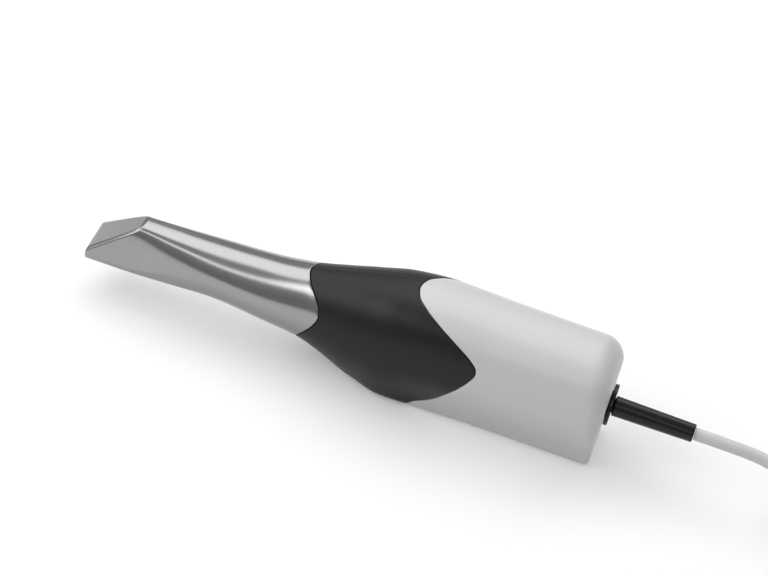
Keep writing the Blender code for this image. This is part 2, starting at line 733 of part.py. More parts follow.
def make_nose(black):
    """The nose that carries the sleeve: a tube with a light port at its tip and a flange at its root."""
    front = TIP_ROUNDING + SLEEVE_WALL + NOSE_CLEARANCE
    flange = NOSE_LENGTH - NOSE_FLANGE
    along = facet_places() + [x * HANDPIECE_LENGTH for x in NOSE_RINGS] + [COLLAR_START, NECK_START]
    rings = [nose_ring(x) for x in [front] + along]
    rings.append(shrunk_ring(NECK_FULL, NOSE_NECK_INSET))
    rings.append(shrunk_ring(flange, NOSE_NECK_INSET))
    rings.append(level_ring(flange, GRIP_WALL + FIT_GAP))
    rings.append(level_ring(NOSE_LENGTH, GRIP_WALL + FIT_GAP))
    rings.append(shrunk_ring(NOSE_LENGTH, NOSE_NECK_INSET + NOSE_WALL))
    rings.append(shrunk_ring(NECK_FULL, NOSE_NECK_INSET + NOSE_WALL))
    back = [NECK_START, COLLAR_START] + [x * HANDPIECE_LENGTH for x in NOSE_INNER_RINGS]
    back += facet_places()[::-1]
    rings += [nose_ring(x, NOSE_WALL) for x in back]
    rings.append(nose_ring(front + NOSE_WALL, NOSE_WALL))
    nose = loft("nose_tube", rings, black)
    side = LIGHT_PORT_WIDTH / 2
    floor = nose_floor(FACET_LENGTH)
    port = block(
        "light_port",
        (WINDOW_START + 0.7 * MM, -side, floor - 3 * MM),
        (WINDOW_START + 0.7 * MM + LIGHT_PORT_LENGTH, side, floor + NOSE_WALL + 1 * MM),
        black,
    )
    cut(nose, port)
    for i, (point, outward) in enumerate(flange_screw_points(flange)):
        hole = rod(
            f"flange_hole_{i}", point - Vector((3 * MM, 0, 0)), point + Vector((6 * MM, 0, 0)),
            SCREW_DIAMETER + 2 * FIT_GAP, black, 12,
        )
        cut(nose, hole)


def flange_screw_points(place):
    """Four screws in the flange, midway between its rim and the neck."""
    half = inset_half(NOSE_LENGTH, FLANGE_SCREW_INSET)
    points = []
    for index in (CROWN_POINTS // 2, CROWN_POINTS + FLANK_POINTS - 2):
        for side in (-1, 1):
            points.append((Vector((place, side * half[index][0], half[index][1])), side))
    return points


def make_collar(black):
    """The locating collar on the root of the nose, which centres the sleeve."""
    places = (COLLAR_START, COLLAR_START + COLLAR_LENGTH)
    outer = SLEEVE_WALL + FIT_GAP
    rings = [level_ring(places[0], outer + COLLAR_CHAMFER), level_ring(places[0] + 2 * COLLAR_CHAMFER, outer)]
    rings.append(level_ring(places[1], outer))
    rings += [shrunk_ring(x, nose_inset(x) - FIT_GAP, nose_floor(x) - FIT_GAP) for x in reversed(places)]
    loft("nose_collar", rings, black, closed=True)


def make_mirror(mirror_coat):
    """The mirror under the slanted facet, which turns the view down through the window."""
    rings = []
    for place in (MIRROR_START, MIRROR_START + MIRROR_LENGTH):
        inner = half_section(place, nose_inset(place) + NOSE_WALL, nose_floor(place, NOSE_WALL))[RIDGE_POINTS]
        half = inner[0] - FIT_GAP * 3
        top = inner[1] - 2 * FIT_GAP / math.cos(facet_slope())
        low = top - MIRROR_THICKNESS / math.cos(facet_slope())
        corners = ((-half, top), (half, top), (half, low), (-half, low))
        rings.append([Vector((place, y, z)) for y, z in corners])
    loft("tip_mirror", rings, mirror_coat)


def make_relay_optics(aluminium, glass):
    """Two relay lenses, each in a plate that fits the inside of the nose."""
    for where, share in RELAY_PLACES.items():
        place = share * NOSE_LENGTH
        end = place + RELAY_MOUNT_LENGTH
        centre = Vector((place + RELAY_MOUNT_LENGTH / 2, 0, AXIS_HEIGHT))
        rings = [nose_ring(x, NOSE_WALL + FIT_GAP) for x in (place, end)]
        mount = loft(f"relay_mount_{where}", rings, aluminium)
        bore = rod(
            f"relay_bore_{where}", (place - 1 * MM, 0, AXIS_HEIGHT), (end + 1 * MM, 0, AXIS_HEIGHT),
            RELAY_LENS_DIAMETER + 2 * FIT_GAP, aluminium, 24,
        )
        cut(mount, bore)
        lens(
            f"relay_lens_{where}", centre, (1, 0, 0),
            RELAY_LENS_DIAMETER, RELAY_LENS_THICKNESS, RELAY_LENS_BULGE, glass,
        )


# Optical bench and what it carries

def make_bench(aluminium):
    """The bench: a deck between bulkheads that fit the shells, with seats for the optics and the boards."""
    deck_top = DECK_BOTTOM + DECK_THICKNESS
    inside_grip = GRIP_WALL + FIT_GAP
    rings = [level_ring(BENCH_START, inside_grip), level_ring(BENCH_START + BULKHEAD, inside_grip)]
    bench = loft("optical_bench", rings, aluminium)
    front_deck = block(
        "bench_front_deck", (BENCH_START + 1 * MM, -DECK_HALF_WIDTH, FRONT_DECK_BOTTOM),
        (MID_BULKHEAD + 1 * MM, DECK_HALF_WIDTH, FRONT_DECK_BOTTOM + DECK_THICKNESS), aluminium,
    )
    deck = block(
        "bench_deck", (MID_BULKHEAD + 1 * MM, -DECK_HALF_WIDTH, DECK_BOTTOM),
        (BENCH_END - 1 * MM, DECK_HALF_WIDTH, deck_top), aluminium,
    )
    inside_body = BODY_WALL + FIT_GAP
    inside_spigot = inside_body + SPIGOT_WALL + 2 * FIT_GAP
    bulkheads = (("middle", MID_BULKHEAD, inside_spigot), ("rear", BENCH_END - BULKHEAD, inside_body))
    for where, place, inset in bulkheads:
        rings = [level_ring(x, inset, DECK_BOTTOM) for x in (place, place + BULKHEAD)]
        add(bench, loft(f"bench_{where}", rings, aluminium))
    seat_half = SPLITTER_SIZE / 2
    seat = block(
        "splitter_seat", (SPLITTER_PLACE, -seat_half, deck_top - 1 * MM),
        (SPLITTER_PLACE + SPLITTER_SIZE, seat_half, AXIS_HEIGHT - seat_half - FIT_GAP), aluminium,
    )
    add(bench, front_deck, deck, seat)
    for i, (x, y) in enumerate(standoff_places()):
        post = rod(
            f"standoff_{i}", (x, y, BOARD_BOTTOM + BOARD_THICKNESS + FIT_GAP), (x, y, DECK_BOTTOM + 1 * MM),
            STANDOFF_DIAMETER, aluminium, 12,
        )
        add(bench, post)
    for i, (x, y) in enumerate(standoff_places()):
        bore = rod(
            f"standoff_bore_{i}", (x, y, BOARD_BOTTOM), (x, y, DECK_BOTTOM - 0.4 * MM),
            SCREW_DIAMETER + 2 * FIT_GAP, aluminium, 12,
        )
        cut(bench, bore)
    front = BENCH_START - 2 * MM
    behind = MID_BULKHEAD + BULKHEAD + 2 * MM
    light = rod(
        "bench_light_bore", (front, 0, AXIS_HEIGHT), (behind, 0, AXIS_HEIGHT), LIGHT_BORE, aluminium, 24,
    )
    cut(bench, light)
    for side in (-1, 1):
        ends = [(x, side * ROD_OFFSET, AXIS_HEIGHT) for x in (BENCH_START + ROD_STOP, behind)]
        bore = rod(f"rod_bore_{side}", *ends, ROD_DIAMETER + 2 * FIT_GAP, aluminium, 16)
        cut(bench, bore)
    for i, (point, side) in enumerate(flange_screw_points(BENCH_START)):
        hole = rod(
            f"bench_screw_hole_{i}", point - Vector((2 * MM, 0, 0)), point + Vector((SCREW_GRIP, 0, 0)),
            SCREW_DIAMETER + 2 * FIT_GAP, aluminium, 12,
        )
        cut(bench, hole)


def standoff_places():
    return [
        (x, side * (BOARD_HALF_WIDTH - STANDOFF_INSET_Y))
        for x in (BOARD_START + STANDOFF_INSET_X, BOARD_END - STANDOFF_INSET_X)
        for side in (-1, 1)
    ]


def make_screws(steel):
    """The four screws of the nose flange and the four screws of the main board."""
    flange_face = NOSE_LENGTH - NOSE_FLANGE - FIT_GAP
    for i, (point, side) in enumerate(flange_screw_points(flange_face)):
        screw(f"flange_screw_{i + 1}", point, (1, 0, 0), NOSE_FLANGE + FIT_GAP + SCREW_GRIP, steel)
    board_screw = DECK_BOTTOM - BOARD_BOTTOM - 1 * MM
    for i, (x, y) in enumerate(standoff_places()):
        screw(f"board_screw_{i + 1}", Vector((x, y, BOARD_BOTTOM - FIT_GAP)), (0, 0, 1), board_screw, steel)


def make_focus_drive(steel, black, glass, copper, magnet):
    """Guide rods, the lens carriage that slides on them, its voice coil and the magnet yoke."""
    rod_start = BENCH_START + ROD_STOP + FIT_GAP
    rod_end = MID_BULKHEAD + BULKHEAD
    for side, where in ((-1, "right"), (1, "left")):
        ends = [(x, side * ROD_OFFSET, AXIS_HEIGHT) for x in (rod_start, rod_end)]
        rod(f"guide_rod_{where}", *ends, ROD_DIAMETER, steel, 16)
    shoulder = AXIS_HEIGHT + CARRIAGE_ABOVE
    carriage = block(
        "focus_carriage", (FOCUS_PLACE, -CARRIAGE_HALF_WIDTH, AXIS_HEIGHT - CARRIAGE_BELOW),
        (FOCUS_PLACE + FOCUS_LENGTH, CARRIAGE_HALF_WIDTH, shoulder), black, 1.0 * MM,
    )
    lug_half = COIL_OUTER / 2 + 0.6 * MM
    lug = block(
        "carriage_lug", (FOCUS_PLACE, -lug_half, shoulder - 3 * MM),
        (FOCUS_PLACE + FOCUS_LENGTH, lug_half, COIL_AXIS_HEIGHT + lug_half), black,
    )
    add(carriage, lug)
    ends = (FOCUS_PLACE - 2 * MM, FOCUS_PLACE + FOCUS_LENGTH + 2 * MM)
    bores = (
        ("lens", 0.0, AXIS_HEIGHT, FOCUS_LENS_DIAMETER + 2 * FIT_GAP, 24),
        ("core", 0.0, COIL_AXIS_HEIGHT, COIL_BORE, 16),
        ("rod_right", -ROD_OFFSET, AXIS_HEIGHT, ROD_DIAMETER + 2 * FIT_GAP, 16),
        ("rod_left", ROD_OFFSET, AXIS_HEIGHT, ROD_DIAMETER + 2 * FIT_GAP, 16),
    )
    for where, y, z, diameter, steps in bores:
        tool = rod(f"carriage_bore_{where}", (ends[0], y, z), (ends[1], y, z), diameter, black, steps)
        cut(carriage, tool)
    centre = (FOCUS_PLACE + FOCUS_LENGTH / 2, 0, AXIS_HEIGHT)
    lens("focus_lens", centre, (1, 0, 0), FOCUS_LENS_DIAMETER, FOCUS_LENS_THICKNESS, 1.6 * MM, glass)

    coil_start = (FOCUS_PLACE + FOCUS_LENGTH + FIT_GAP, 0, COIL_AXIS_HEIGHT)
    turned("voice_coil", ring_profile(0, COIL_LENGTH, COIL_BORE, COIL_OUTER), copper, coil_start)
    base = MID_BULKHEAD - FIT_GAP
    reach = base - (FOCUS_PLACE + FOCUS_TRAVEL)
    outer = YOKE_OUTER / 2
    core = YOKE_CORE / 2
    yoke = [
        (0, 0), (0, outer), (-YOKE_DEPTH, outer), (-YOKE_DEPTH, outer - YOKE_WALL),
        (-YOKE_WALL, outer - YOKE_WALL), (-YOKE_WALL, core), (-reach, core), (-reach, 0),
    ]
    turned("magnet_yoke", yoke, magnet, (base, 0, COIL_AXIS_HEIGHT))


def make_projector(glass, black, board, aluminium, light, dark_chip):
    """The beam splitter, and above it the light source: barrel, condenser, lamp, board and heat sink."""
    half = SPLITTER_SIZE / 2
    start = SPLITTER_PLACE
    end = start + SPLITTER_SIZE
    centre_x = (start + end) / 2
    deck_top = DECK_BOTTOM + DECK_THICKNESS
    block("beam_splitter", (start, -half, AXIS_HEIGHT - half), (end, half, AXIS_HEIGHT + half), glass)

    inner = half + FIT_GAP
    outer = inner + HOUSING_WALL
    ceiling = AXIS_HEIGHT + half + FIT_GAP
    roof = ceiling + HOUSING_WALL
    outline = [
        (-outer, deck_top + FIT_GAP), (-inner, deck_top + FIT_GAP), (-inner, ceiling), (inner, ceiling),
        (inner, deck_top + FIT_GAP), (outer, deck_top + FIT_GAP), (outer, roof), (-outer, roof),
    ]
    rings = [[Vector((x, y, z)) for y, z in outline] for x in (start, end)]
    housing = loft("splitter_housing", rings, black)
    ends = [(centre_x, 0, z) for z in (ceiling - 1 * MM, roof + 1 * MM)]
    bore = rod("housing_bore", *ends, BARREL_BORE, black, 20)
    cut(housing, bore)

    barrel_low = roof + FIT_GAP
    barrel = ring_profile(0, BARREL_HEIGHT, BARREL_BORE, BARREL_OUTER)
    turned("projector_barrel", barrel, black, (centre_x, 0, barrel_low), (0, 0, 1))
    lens(
        "condenser_lens", (centre_x, 0, barrel_low + CONDENSER_THICKNESS / 2), (0, 0, 1),
        BARREL_BORE - 2 * FIT_GAP, CONDENSER_THICKNESS - 2 * CONDENSER_BULGE, CONDENSER_BULGE, glass,
    )
    board_low = barrel_low + BARREL_HEIGHT + FIT_GAP
    board_half = LED_BOARD_SIZE / 2
    block(
        "led_board", (centre_x - board_half, -board_half, board_low),
        (centre_x + board_half, board_half, board_low + BOARD_THICKNESS), board,
    )
    led = LED_SIZE / 2
    block(
        "projector_led", (centre_x - led, -led, board_low - FIT_GAP - LED_HEIGHT),
        (centre_x + led, led, board_low - FIT_GAP), light,
    )
    make_heat_sink(centre_x, board_low + BOARD_THICKNESS + FIT_GAP, aluminium)
    make_sensor(board, dark_chip)


def make_heat_sink(centre_x, low, aluminium):
    """A comb of fins on a flat base, as one outline drawn along X."""
    half = SINK_WIDTH / 2
    pitch = (SINK_WIDTH - SINK_FIN) / (SINK_FINS - 1)
    outline = [(-half, low), (half, low)]
    for i in reversed(range(SINK_FINS)):
        left = -half + i * pitch
        right = left + SINK_FIN
        top = low + SINK_BASE + SINK_FIN_HEIGHT
        outline += [(right, low + SINK_BASE), (right, top), (left, top), (left, low + SINK_BASE)]
    tidy = [outline[0], outline[1]] + outline[3:-1]
    ends = (centre_x - SINK_LENGTH / 2, centre_x + SINK_LENGTH / 2)
    rings = [[Vector((x, y, z)) for y, z in tidy] for x in ends]
    loft("heat_sink", rings, aluminium)


def make_sensor(board, dark_chip):
    """The image sensor and its upright board, which stands on the deck behind the beam splitter."""
    half = SENSOR_BOARD_WIDTH / 2
    low = DECK_BOTTOM + DECK_THICKNESS + FIT_GAP
    block(
        "sensor_board", (SENSOR_PLACE, -half, low),
        (SENSOR_PLACE + BOARD_THICKNESS, half, low + SENSOR_BOARD_HEIGHT), board,
    )
    wide = SENSOR_CHIP_WIDTH / 2
    high = SENSOR_CHIP_HEIGHT / 2
    face = SENSOR_PLACE - FIT_GAP
    block(
        "image_sensor", (face - SENSOR_CHIP_THICKNESS, -wide, AXIS_HEIGHT - high),
        (face, wide, AXIS_HEIGHT + high), dark_chip,
    )


def make_main_board(board, dark_chip, plastic):
    """The main board under the deck, with its processor and the connector of the cable."""
    top = BOARD_BOTTOM + BOARD_THICKNESS
    low_corner = (BOARD_START, -BOARD_HALF_WIDTH, BOARD_BOTTOM)
    main = block("main_board", low_corner, (BOARD_END, BOARD_HALF_WIDTH, top), board)
    for i, (x, y) in enumerate(standoff_places()):
        hole = rod(
            f"board_hole_{i}", (x, y, BOARD_BOTTOM - 1 * MM), (x, y, top + 1 * MM),
            SCREW_DIAMETER + 2 * FIT_GAP, board, 12,
        )
        cut(main, hole)
    chip_x = (BOARD_START + BOARD_END) / 2 - 4 * MM
    half = PROCESSOR_SIZE / 2
    low = top + FIT_GAP
    block(
        "processor", (chip_x - half, -half, low), (chip_x + half, half, low + PROCESSOR_THICKNESS), dark_chip,
    )
    width = CONNECTOR_WIDTH / 2
    block(
        "board_connector", (BOARD_END - CONNECTOR_LENGTH, -width, low),
        (BOARD_END, width, low + CONNECTOR_HEIGHT), plastic, 0.4 * MM,
    )


# Scan button: everything turns about one axis that is square to the slanted underside

def button_frame():
    """The point on the underside and the inward direction of the button's axis."""
    step = 4 * MM
    rise = section_values(BUTTON_PLACE + step)[1] - section_values(BUTTON_PLACE - step)[1]
    inward = Vector((-rise, 0, 2 * step)).normalized()
    return Vector((BUTTON_PLACE, 0, section_values(BUTTON_PLACE)[1])), inward


def button_point(depth):
    point, inward = button_frame()
    return point + inward * depth


def make_button(black, light, board, steel, grey):
    """The scan button with its light ring, spring, switch and board, in a cup inside the grip."""
    point, inward = button_frame()
    cap = BUTTON_DIAMETER / 2
    ring_inner = cap + FIT_GAP
    ring_outer = BUTTON_RING_OUTER / 2
    ring = [
        (0.1 * MM, ring_inner), (-0.3 * MM, ring_inner + 0.5 * MM), (-0.3 * MM, ring_outer - 0.5 * MM),
        (0.1 * MM, ring_outer), (BUTTON_RING_DEPTH, ring_outer), (BUTTON_RING_DEPTH, ring_inner),
    ]
    turned("button_ring", ring, light, point, inward, 20)

    switch_top = BUTTON_BOARD_DEPTH - FIT_GAP - SWITCH_HEIGHT
    stem_end = switch_top - BUTTON_TRAVEL - FIT_GAP
    stem = BUTTON_STEM / 2
    dome = [
        (-BUTTON_PROUD, 0), (-BUTTON_PROUD * 0.8, cap * 0.6), (-BUTTON_PROUD * 0.1, cap * 0.93),
        (0.5 * MM, cap), (BUTTON_CAP, cap), (BUTTON_CAP, stem), (stem_end, stem), (stem_end, 0),
    ]
    button = turned("scan_button", dome, black, (0, 0, 0), inward, 20)
    button.location = point

    side = ring_outer
    lip = BUTTON_RING_DEPTH + FIT_GAP
    shelf = lip + BUTTON_HOUSING_WALL
    deep = BUTTON_BOARD_DEPTH + BOARD_THICKNESS + FIT_GAP
    bottom = deep + BUTTON_HOUSING_WALL
    inside = side - BUTTON_HOUSING_WALL
    cup = [
        (lip, ring_inner), (lip, side), (bottom, side), (bottom, SWITCH_SIZE / 2), (deep, SWITCH_SIZE / 2),
        (deep, inside), (shelf, inside), (shelf, ring_inner),
    ]
    turned("button_housing", cup, grey, point, inward, 16)
    disc = inside - FIT_GAP
    plate = [(0, 0), (0, disc), (BOARD_THICKNESS, disc), (BOARD_THICKNESS, 0)]
    turned("button_board", plate, board, button_point(BUTTON_BOARD_DEPTH), inward, 20)
    turn = Vector((0, 0, 1)).rotation_difference(inward).to_matrix().to_4x4()
    bm = bmesh.new()
    bmesh.ops.create_cube(bm, size=1.0)
    bmesh.ops.scale(bm, vec=(SWITCH_SIZE, SWITCH_SIZE, SWITCH_HEIGHT), verts=bm.verts)
    place = Matrix.Translation(button_point(switch_top + SWITCH_HEIGHT / 2)) @ turn
    bmesh.ops.transform(bm, matrix=place, verts=bm.verts)
    new_object("button_switch", bm, grey, smooth=False)
    make_spring(steel, point, inward, BUTTON_CAP + FIT_GAP, BUTTON_BOARD_DEPTH - FIT_GAP)


def make_spring(steel, point, inward, start, end):
    """The return spring: a round wire wound between the cap and the board."""
    radius = SWITCH_SIZE / math.sqrt(2) + SPRING_WIRE / 2 + FIT_GAP
    turn = Vector((0, 0, 1)).rotation_difference(inward).to_matrix()
    wire = SPRING_WIRE / 2
    steps = int(SPRING_TURNS * SPRING_STEPS)
    curve = bpy.data.curves.new("button_spring", "CURVE")
    curve.dimensions = "3D"
    curve.bevel_depth = wire
    curve.bevel_resolution = 1
    curve.use_fill_caps = True
    spline = curve.splines.new("POLY")
    spline.points.add(steps)
    for k in range(steps + 1):
        angle = 2 * math.pi * SPRING_TURNS * k / steps
        along = start + wire + (end - start - 2 * wire) * k / steps
        spot = point + turn @ Vector((radius * math.cos(angle), radius * math.sin(angle), along))
        spline.points[k].co = (*spot, 1.0)
    curve.materials.append(steel)
    spring = bpy.data.objects.new("button_spring", curve)
    bpy.context.scene.collection.objects.link(spring)
    spring.parent = FRAME


# Gland, strain relief, leads and cable

def make_gland(black, steel, grey):
    """The gland in the rear wall, its nut, the strain relief through both and the clamp on its root."""
    axis_start = (0, 0, CABLE_HEIGHT)
    bore = RELIEF_SHANK / 2 + FIT_GAP
    face = HANDPIECE_LENGTH + FIT_GAP
    shank_end = HANDPIECE_LENGTH - REAR_WALL - FIT_GAP - NUT_THICKNESS
    disc = GLAND_DIAMETER / 2
    outside = face + GLAND_FLANGE
    gland = [
        (shank_end, bore), (shank_end, GLAND_SHANK / 2), (face, GLAND_SHANK / 2), (face, disc),
        (outside - GLAND_CHAMFER, disc), (outside, disc - GLAND_CHAMFER), (outside, bore),
    ]
    turned("cable_gland", gland, black, axis_start, steps=24)
    nut_end = HANDPIECE_LENGTH - REAR_WALL - FIT_GAP
    nut = ring_profile(nut_end - NUT_THICKNESS, nut_end, GLAND_SHANK + 2 * FIT_GAP, NUT_DIAMETER)
    turned("gland_nut", nut, steel, axis_start, steps=18)
    root_end = shank_end - FIT_GAP - CLAMP_LENGTH
    relief = [
        (root_end, 0), (root_end, RELIEF_SHANK / 2), (RELIEF_START, RELIEF_SHANK / 2),
        (RELIEF_START, RELIEF_ROOT / 2), (RELIEF_FINISH - RELIEF_EDGE, RELIEF_END / 2),
        (RELIEF_FINISH - RELIEF_EDGE * 0.35, RELIEF_END / 2 - RELIEF_EDGE * 0.3),
        (RELIEF_FINISH, RELIEF_END / 2 - RELIEF_EDGE), (RELIEF_FINISH, 0),
    ]
    turned("strain_relief", relief, black, axis_start, steps=24)
    clamp = ring_profile(root_end, root_end + CLAMP_LENGTH, RELIEF_SHANK + 2 * FIT_GAP, CLAMP_DIAMETER)
    turned("cable_clamp", clamp, steel, axis_start, steps=16)
    make_inner_lead(root_end - FIT_GAP, grey)


def smooth_route(route, spacing):
    """Points at about equal spacing along a smooth curve through the given points."""
    points = [Vector(p) for p in route]
    path = []
    for i in range(len(points) - 1):
        before = points[i - 1] if i else points[0] * 2 - points[1]
        after = points[i + 2] if i + 2 < len(points) else points[-1] * 2 - points[-2]
        start = points[i]
        end = points[i + 1]
        steps = max(1, round((end - start).length / spacing))
        for k in range(steps):
            t = k / steps
            near = start * 2 + (end - before) * t + (before * 2 - start * 5 + end * 4 - after) * t * t
            path.append((near + (start * 3 - before - end * 3 + after) * t**3) / 2)
    path.append(points[-1])
    return path


def tube(name, path, diameter, material, resolution=2):
    """A round lead or cable along a path, with filled ends."""
    curve = bpy.data.curves.new(name, "CURVE")
    curve.dimensions = "3D"
    curve.bevel_depth = diameter / 2
    curve.bevel_resolution = resolution
    curve.use_fill_caps = True
    spline = curve.splines.new("POLY")
    spline.points.add(len(path) - 1)
    for point, spot in zip(spline.points, path):
        point.co = (*spot, 1.0)
    curve.materials.append(material)
    thing = bpy.data.objects.new(name, curve)
    bpy.context.scene.collection.objects.link(thing)
    thing.parent = FRAME
    return thing


def make_inner_lead(start, grey):
    """The lead from the clamp down to the connector of the main board."""
    low = BOARD_BOTTOM + BOARD_THICKNESS + FIT_GAP + CONNECTOR_HEIGHT / 2
    plug = BOARD_END + FIT_GAP
    back = BENCH_END + 4.5 * MM
    heights = (CABLE_HEIGHT - 0.3 * MM, CABLE_HEIGHT - 5 * MM, CABLE_HEIGHT - 11 * MM, low + 2.6 * MM)
    places = (start - 4 * MM, back + 4 * MM, back + 1.5 * MM, back - 1.5 * MM)
    route = [(start, 0, CABLE_HEIGHT)] + [(x, 0, z) for x, z in zip(places, heights)]
    route += [(plug + 4 * MM, 0, low), (plug, 0, low)]
    tube("inner_lead", smooth_route(route, LEAD_DIAMETER * 0.7), LEAD_DIAMETER, grey)


def fold(radius, height, side, steps):
    """Points of a half turn at one end of the hank, in the cable's direction; side is 1 at the far end."""
    points = []
    for k in range(steps + 1):
        angle = math.pi * (k / steps - 0.5)
        x = HANK_CENTRE[0] + side * (HANK_RUN / 2 + radius * math.cos(angle))
        points.append(Vector((x, HANK_CENTRE[1] + side * radius * math.sin(angle), height)))
    return points


def make_cable(grey, black, steel, plastic):
    """The free cable: the stretch that lands on the hank, the hank, the end on top of it and the plug."""
    shift = Vector((MIDDLE, 0, 0))
    stretch = smooth_route(CABLE_ROUTE, CABLE_DIAMETER * 2)
    tube("cable", [point + shift for point in stretch], CABLE_DIAMETER, grey)
    inner, outer = HANK_FOLDS
    start = Vector((HANK_CENTRE[0] + TAIL_START, HANK_CENTRE[1] - inner, TAIL_HEIGHT))
    turn = fold(inner, TAIL_HEIGHT, 1, 8)
    tail = [start, (start + turn[0]) / 2] + turn + smooth_route(TAIL_ROUTE, CABLE_DIAMETER)[1:]
    tube("cable_tail", [point + shift for point in tail], CABLE_DIAMETER, grey)
    near = inner - CABLE_DIAMETER / 2
    far = outer + CABLE_DIAMETER / 2
    corner = CABLE_DIAMETER / 4
    profile = [
        (HANK_LOW, near + corner), (HANK_LOW, far - corner),
        (HANK_LOW + corner, far), (HANK_TOP - corner, far),
        (HANK_TOP, far - corner), (HANK_TOP, near + corner),
        (HANK_TOP - corner, near), (HANK_LOW + corner, near),
    ]
    rings = [fold(r, z, 1, 10) + fold(r, z, -1, 10) for z, r in profile]
    loft("cable_hank", [[point + shift for point in ring] for ring in rings], grey, closed=True)
    make_tie(shift, black)
    make_plug(Vector(PLUG_REAR) + shift, black, steel, plastic)


def make_tie(shift, black):
    """A strap around the turns of one run of the hank."""
    low = HANK_CENTRE[1] + HANK_FOLDS[0] - CABLE_DIAMETER / 2
    high = HANK_CENTRE[1] + HANK_FOLDS[1] + CABLE_DIAMETER / 2
    rings = []
    for place, spare in zip(TIE_PLACE + TIE_PLACE[::-1], (TIE_THICKNESS, TIE_THICKNESS, 0, 0)):
        reach = FIT_GAP + spare
        corner = CABLE_DIAMETER / 4 + spare
        y0, y1, z0, z1 = low - reach, high + reach, HANK_LOW - reach, HANK_TOP + reach
        outline = (
            (y0 + corner, z0), (y1 - corner, z0), (y1, z0 + corner), (y1, z1 - corner),
            (y1 - corner, z1), (y0 + corner, z1), (y0, z1 - corner), (y0, z0 + corner),
        )
        rings.append([Vector((place, y, z)) + shift for y, z in outline])
    loft("cable_tie", rings, black, closed=True)


def make_plug(rear, black, steel, plastic):
    """The moulded plug with its metal shell and contact tongue, lying on the hank."""
    length, wide, high = PLUG_SIZE
    low = Vector((rear.x - length, rear.y - wide / 2, rear.z - high / 2))
    block("plug_housing", low, (rear.x, rear.y + wide / 2, rear.z + high / 2), black, 1.2 * MM)
    shell_length, shell_wide, shell_high = PLUG_SHELL_SIZE
    face = low.x - FIT_GAP
    end = face - shell_length
    straight = shell_wide / 2 - shell_high / 2
    steps = 16
    rings = []
    for x, inset in ((face, 0), (end, 0), (end, PLUG_SHELL_WALL), (face, PLUG_SHELL_WALL)):
        radius = shell_high / 2 - inset
        ring = []
        for k in range(steps):
            angle = 2 * math.pi * (k + 0.5) / steps
            side = math.copysign(straight, math.cos(angle)) + radius * math.cos(angle)
            ring.append(Vector((x, rear.y + side, rear.z + radius * math.sin(angle))))
        rings.append(ring)
    loft("plug_shell", rings, steel, closed=True)
    tongue = Vector((0, straight, shell_high / 2 - PLUG_SHELL_WALL - FIT_GAP))
    tip = Vector((end + 2 * FIT_GAP, rear.y, rear.z))
    block("plug_tongue", tip - tongue, Vector((face, rear.y, rear.z)) + tongue, plastic)


clear_scene()
FRAME = bpy.data.objects.new("handpiece_frame", None)
bpy.context.scene.collection.objects.link(FRAME)
FRAME.location = (-MIDDLE, 0, 0)

STEEL = make_material("satin_steel", (0.62, 0.62, 0.62), 0.32, 1.0)
BRIGHT = make_material("bright_steel", (0.72, 0.72, 0.72), 0.2, 1.0)
WHITE = make_material("white_plastic", (0.8, 0.8, 0.8), 0.35)
BLACK = make_material("black_grip", (0.03, 0.03, 0.032), 0.5)
INNER_BLACK = make_material("black_plastic", (0.04, 0.04, 0.04), 0.55)
ALUMINIUM = make_material("aluminium", (0.7, 0.71, 0.72), 0.35, 1.0)
GLASS = make_material("optical_glass", (0.9, 0.95, 0.95), 0.03, 0.0, 0.9)
MIRROR = make_material("mirror_coat", (0.9, 0.9, 0.9), 0.04, 1.0)
COPPER = make_material("copper_wire", (0.72, 0.38, 0.2), 0.3, 1.0)
MAGNET = make_material("magnet_nickel", (0.5, 0.5, 0.5), 0.3, 1.0)
BOARD = make_material("circuit_board", (0.02, 0.16, 0.08), 0.4)
CHIP = make_material("chip_black", (0.02, 0.02, 0.02), 0.4)
LIGHT = make_material("light_guide", (0.85, 0.88, 0.9), 0.3)
RELIEF = make_material("black_relief", (0.02, 0.02, 0.02), 0.45)
CABLE = make_material("grey_cable", (0.6, 0.6, 0.6), 0.45)

make_sleeve(STEEL, GLASS)
make_grip(BLACK)
make_body(WHITE)
make_nose(INNER_BLACK)
make_collar(INNER_BLACK)
make_mirror(MIRROR)
make_relay_optics(ALUMINIUM, GLASS)
make_bench(ALUMINIUM)
make_screws(BRIGHT)
make_focus_drive(BRIGHT, INNER_BLACK, GLASS, COPPER, MAGNET)
make_projector(GLASS, INNER_BLACK, BOARD, ALUMINIUM, LIGHT, CHIP)
make_main_board(BOARD, CHIP, INNER_BLACK)
make_button(BLACK, LIGHT, BOARD, BRIGHT, INNER_BLACK)
make_gland(RELIEF, BRIGHT, CABLE)
make_cable(CABLE, RELIEF, BRIGHT, INNER_BLACK)
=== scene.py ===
"""Looks of the intraoral scanner handpiece: fine shells, small parts, cable, studio and camera."""
import json
import math

import bmesh
import bpy
import numpy as np
from mathutils import Matrix, Vector


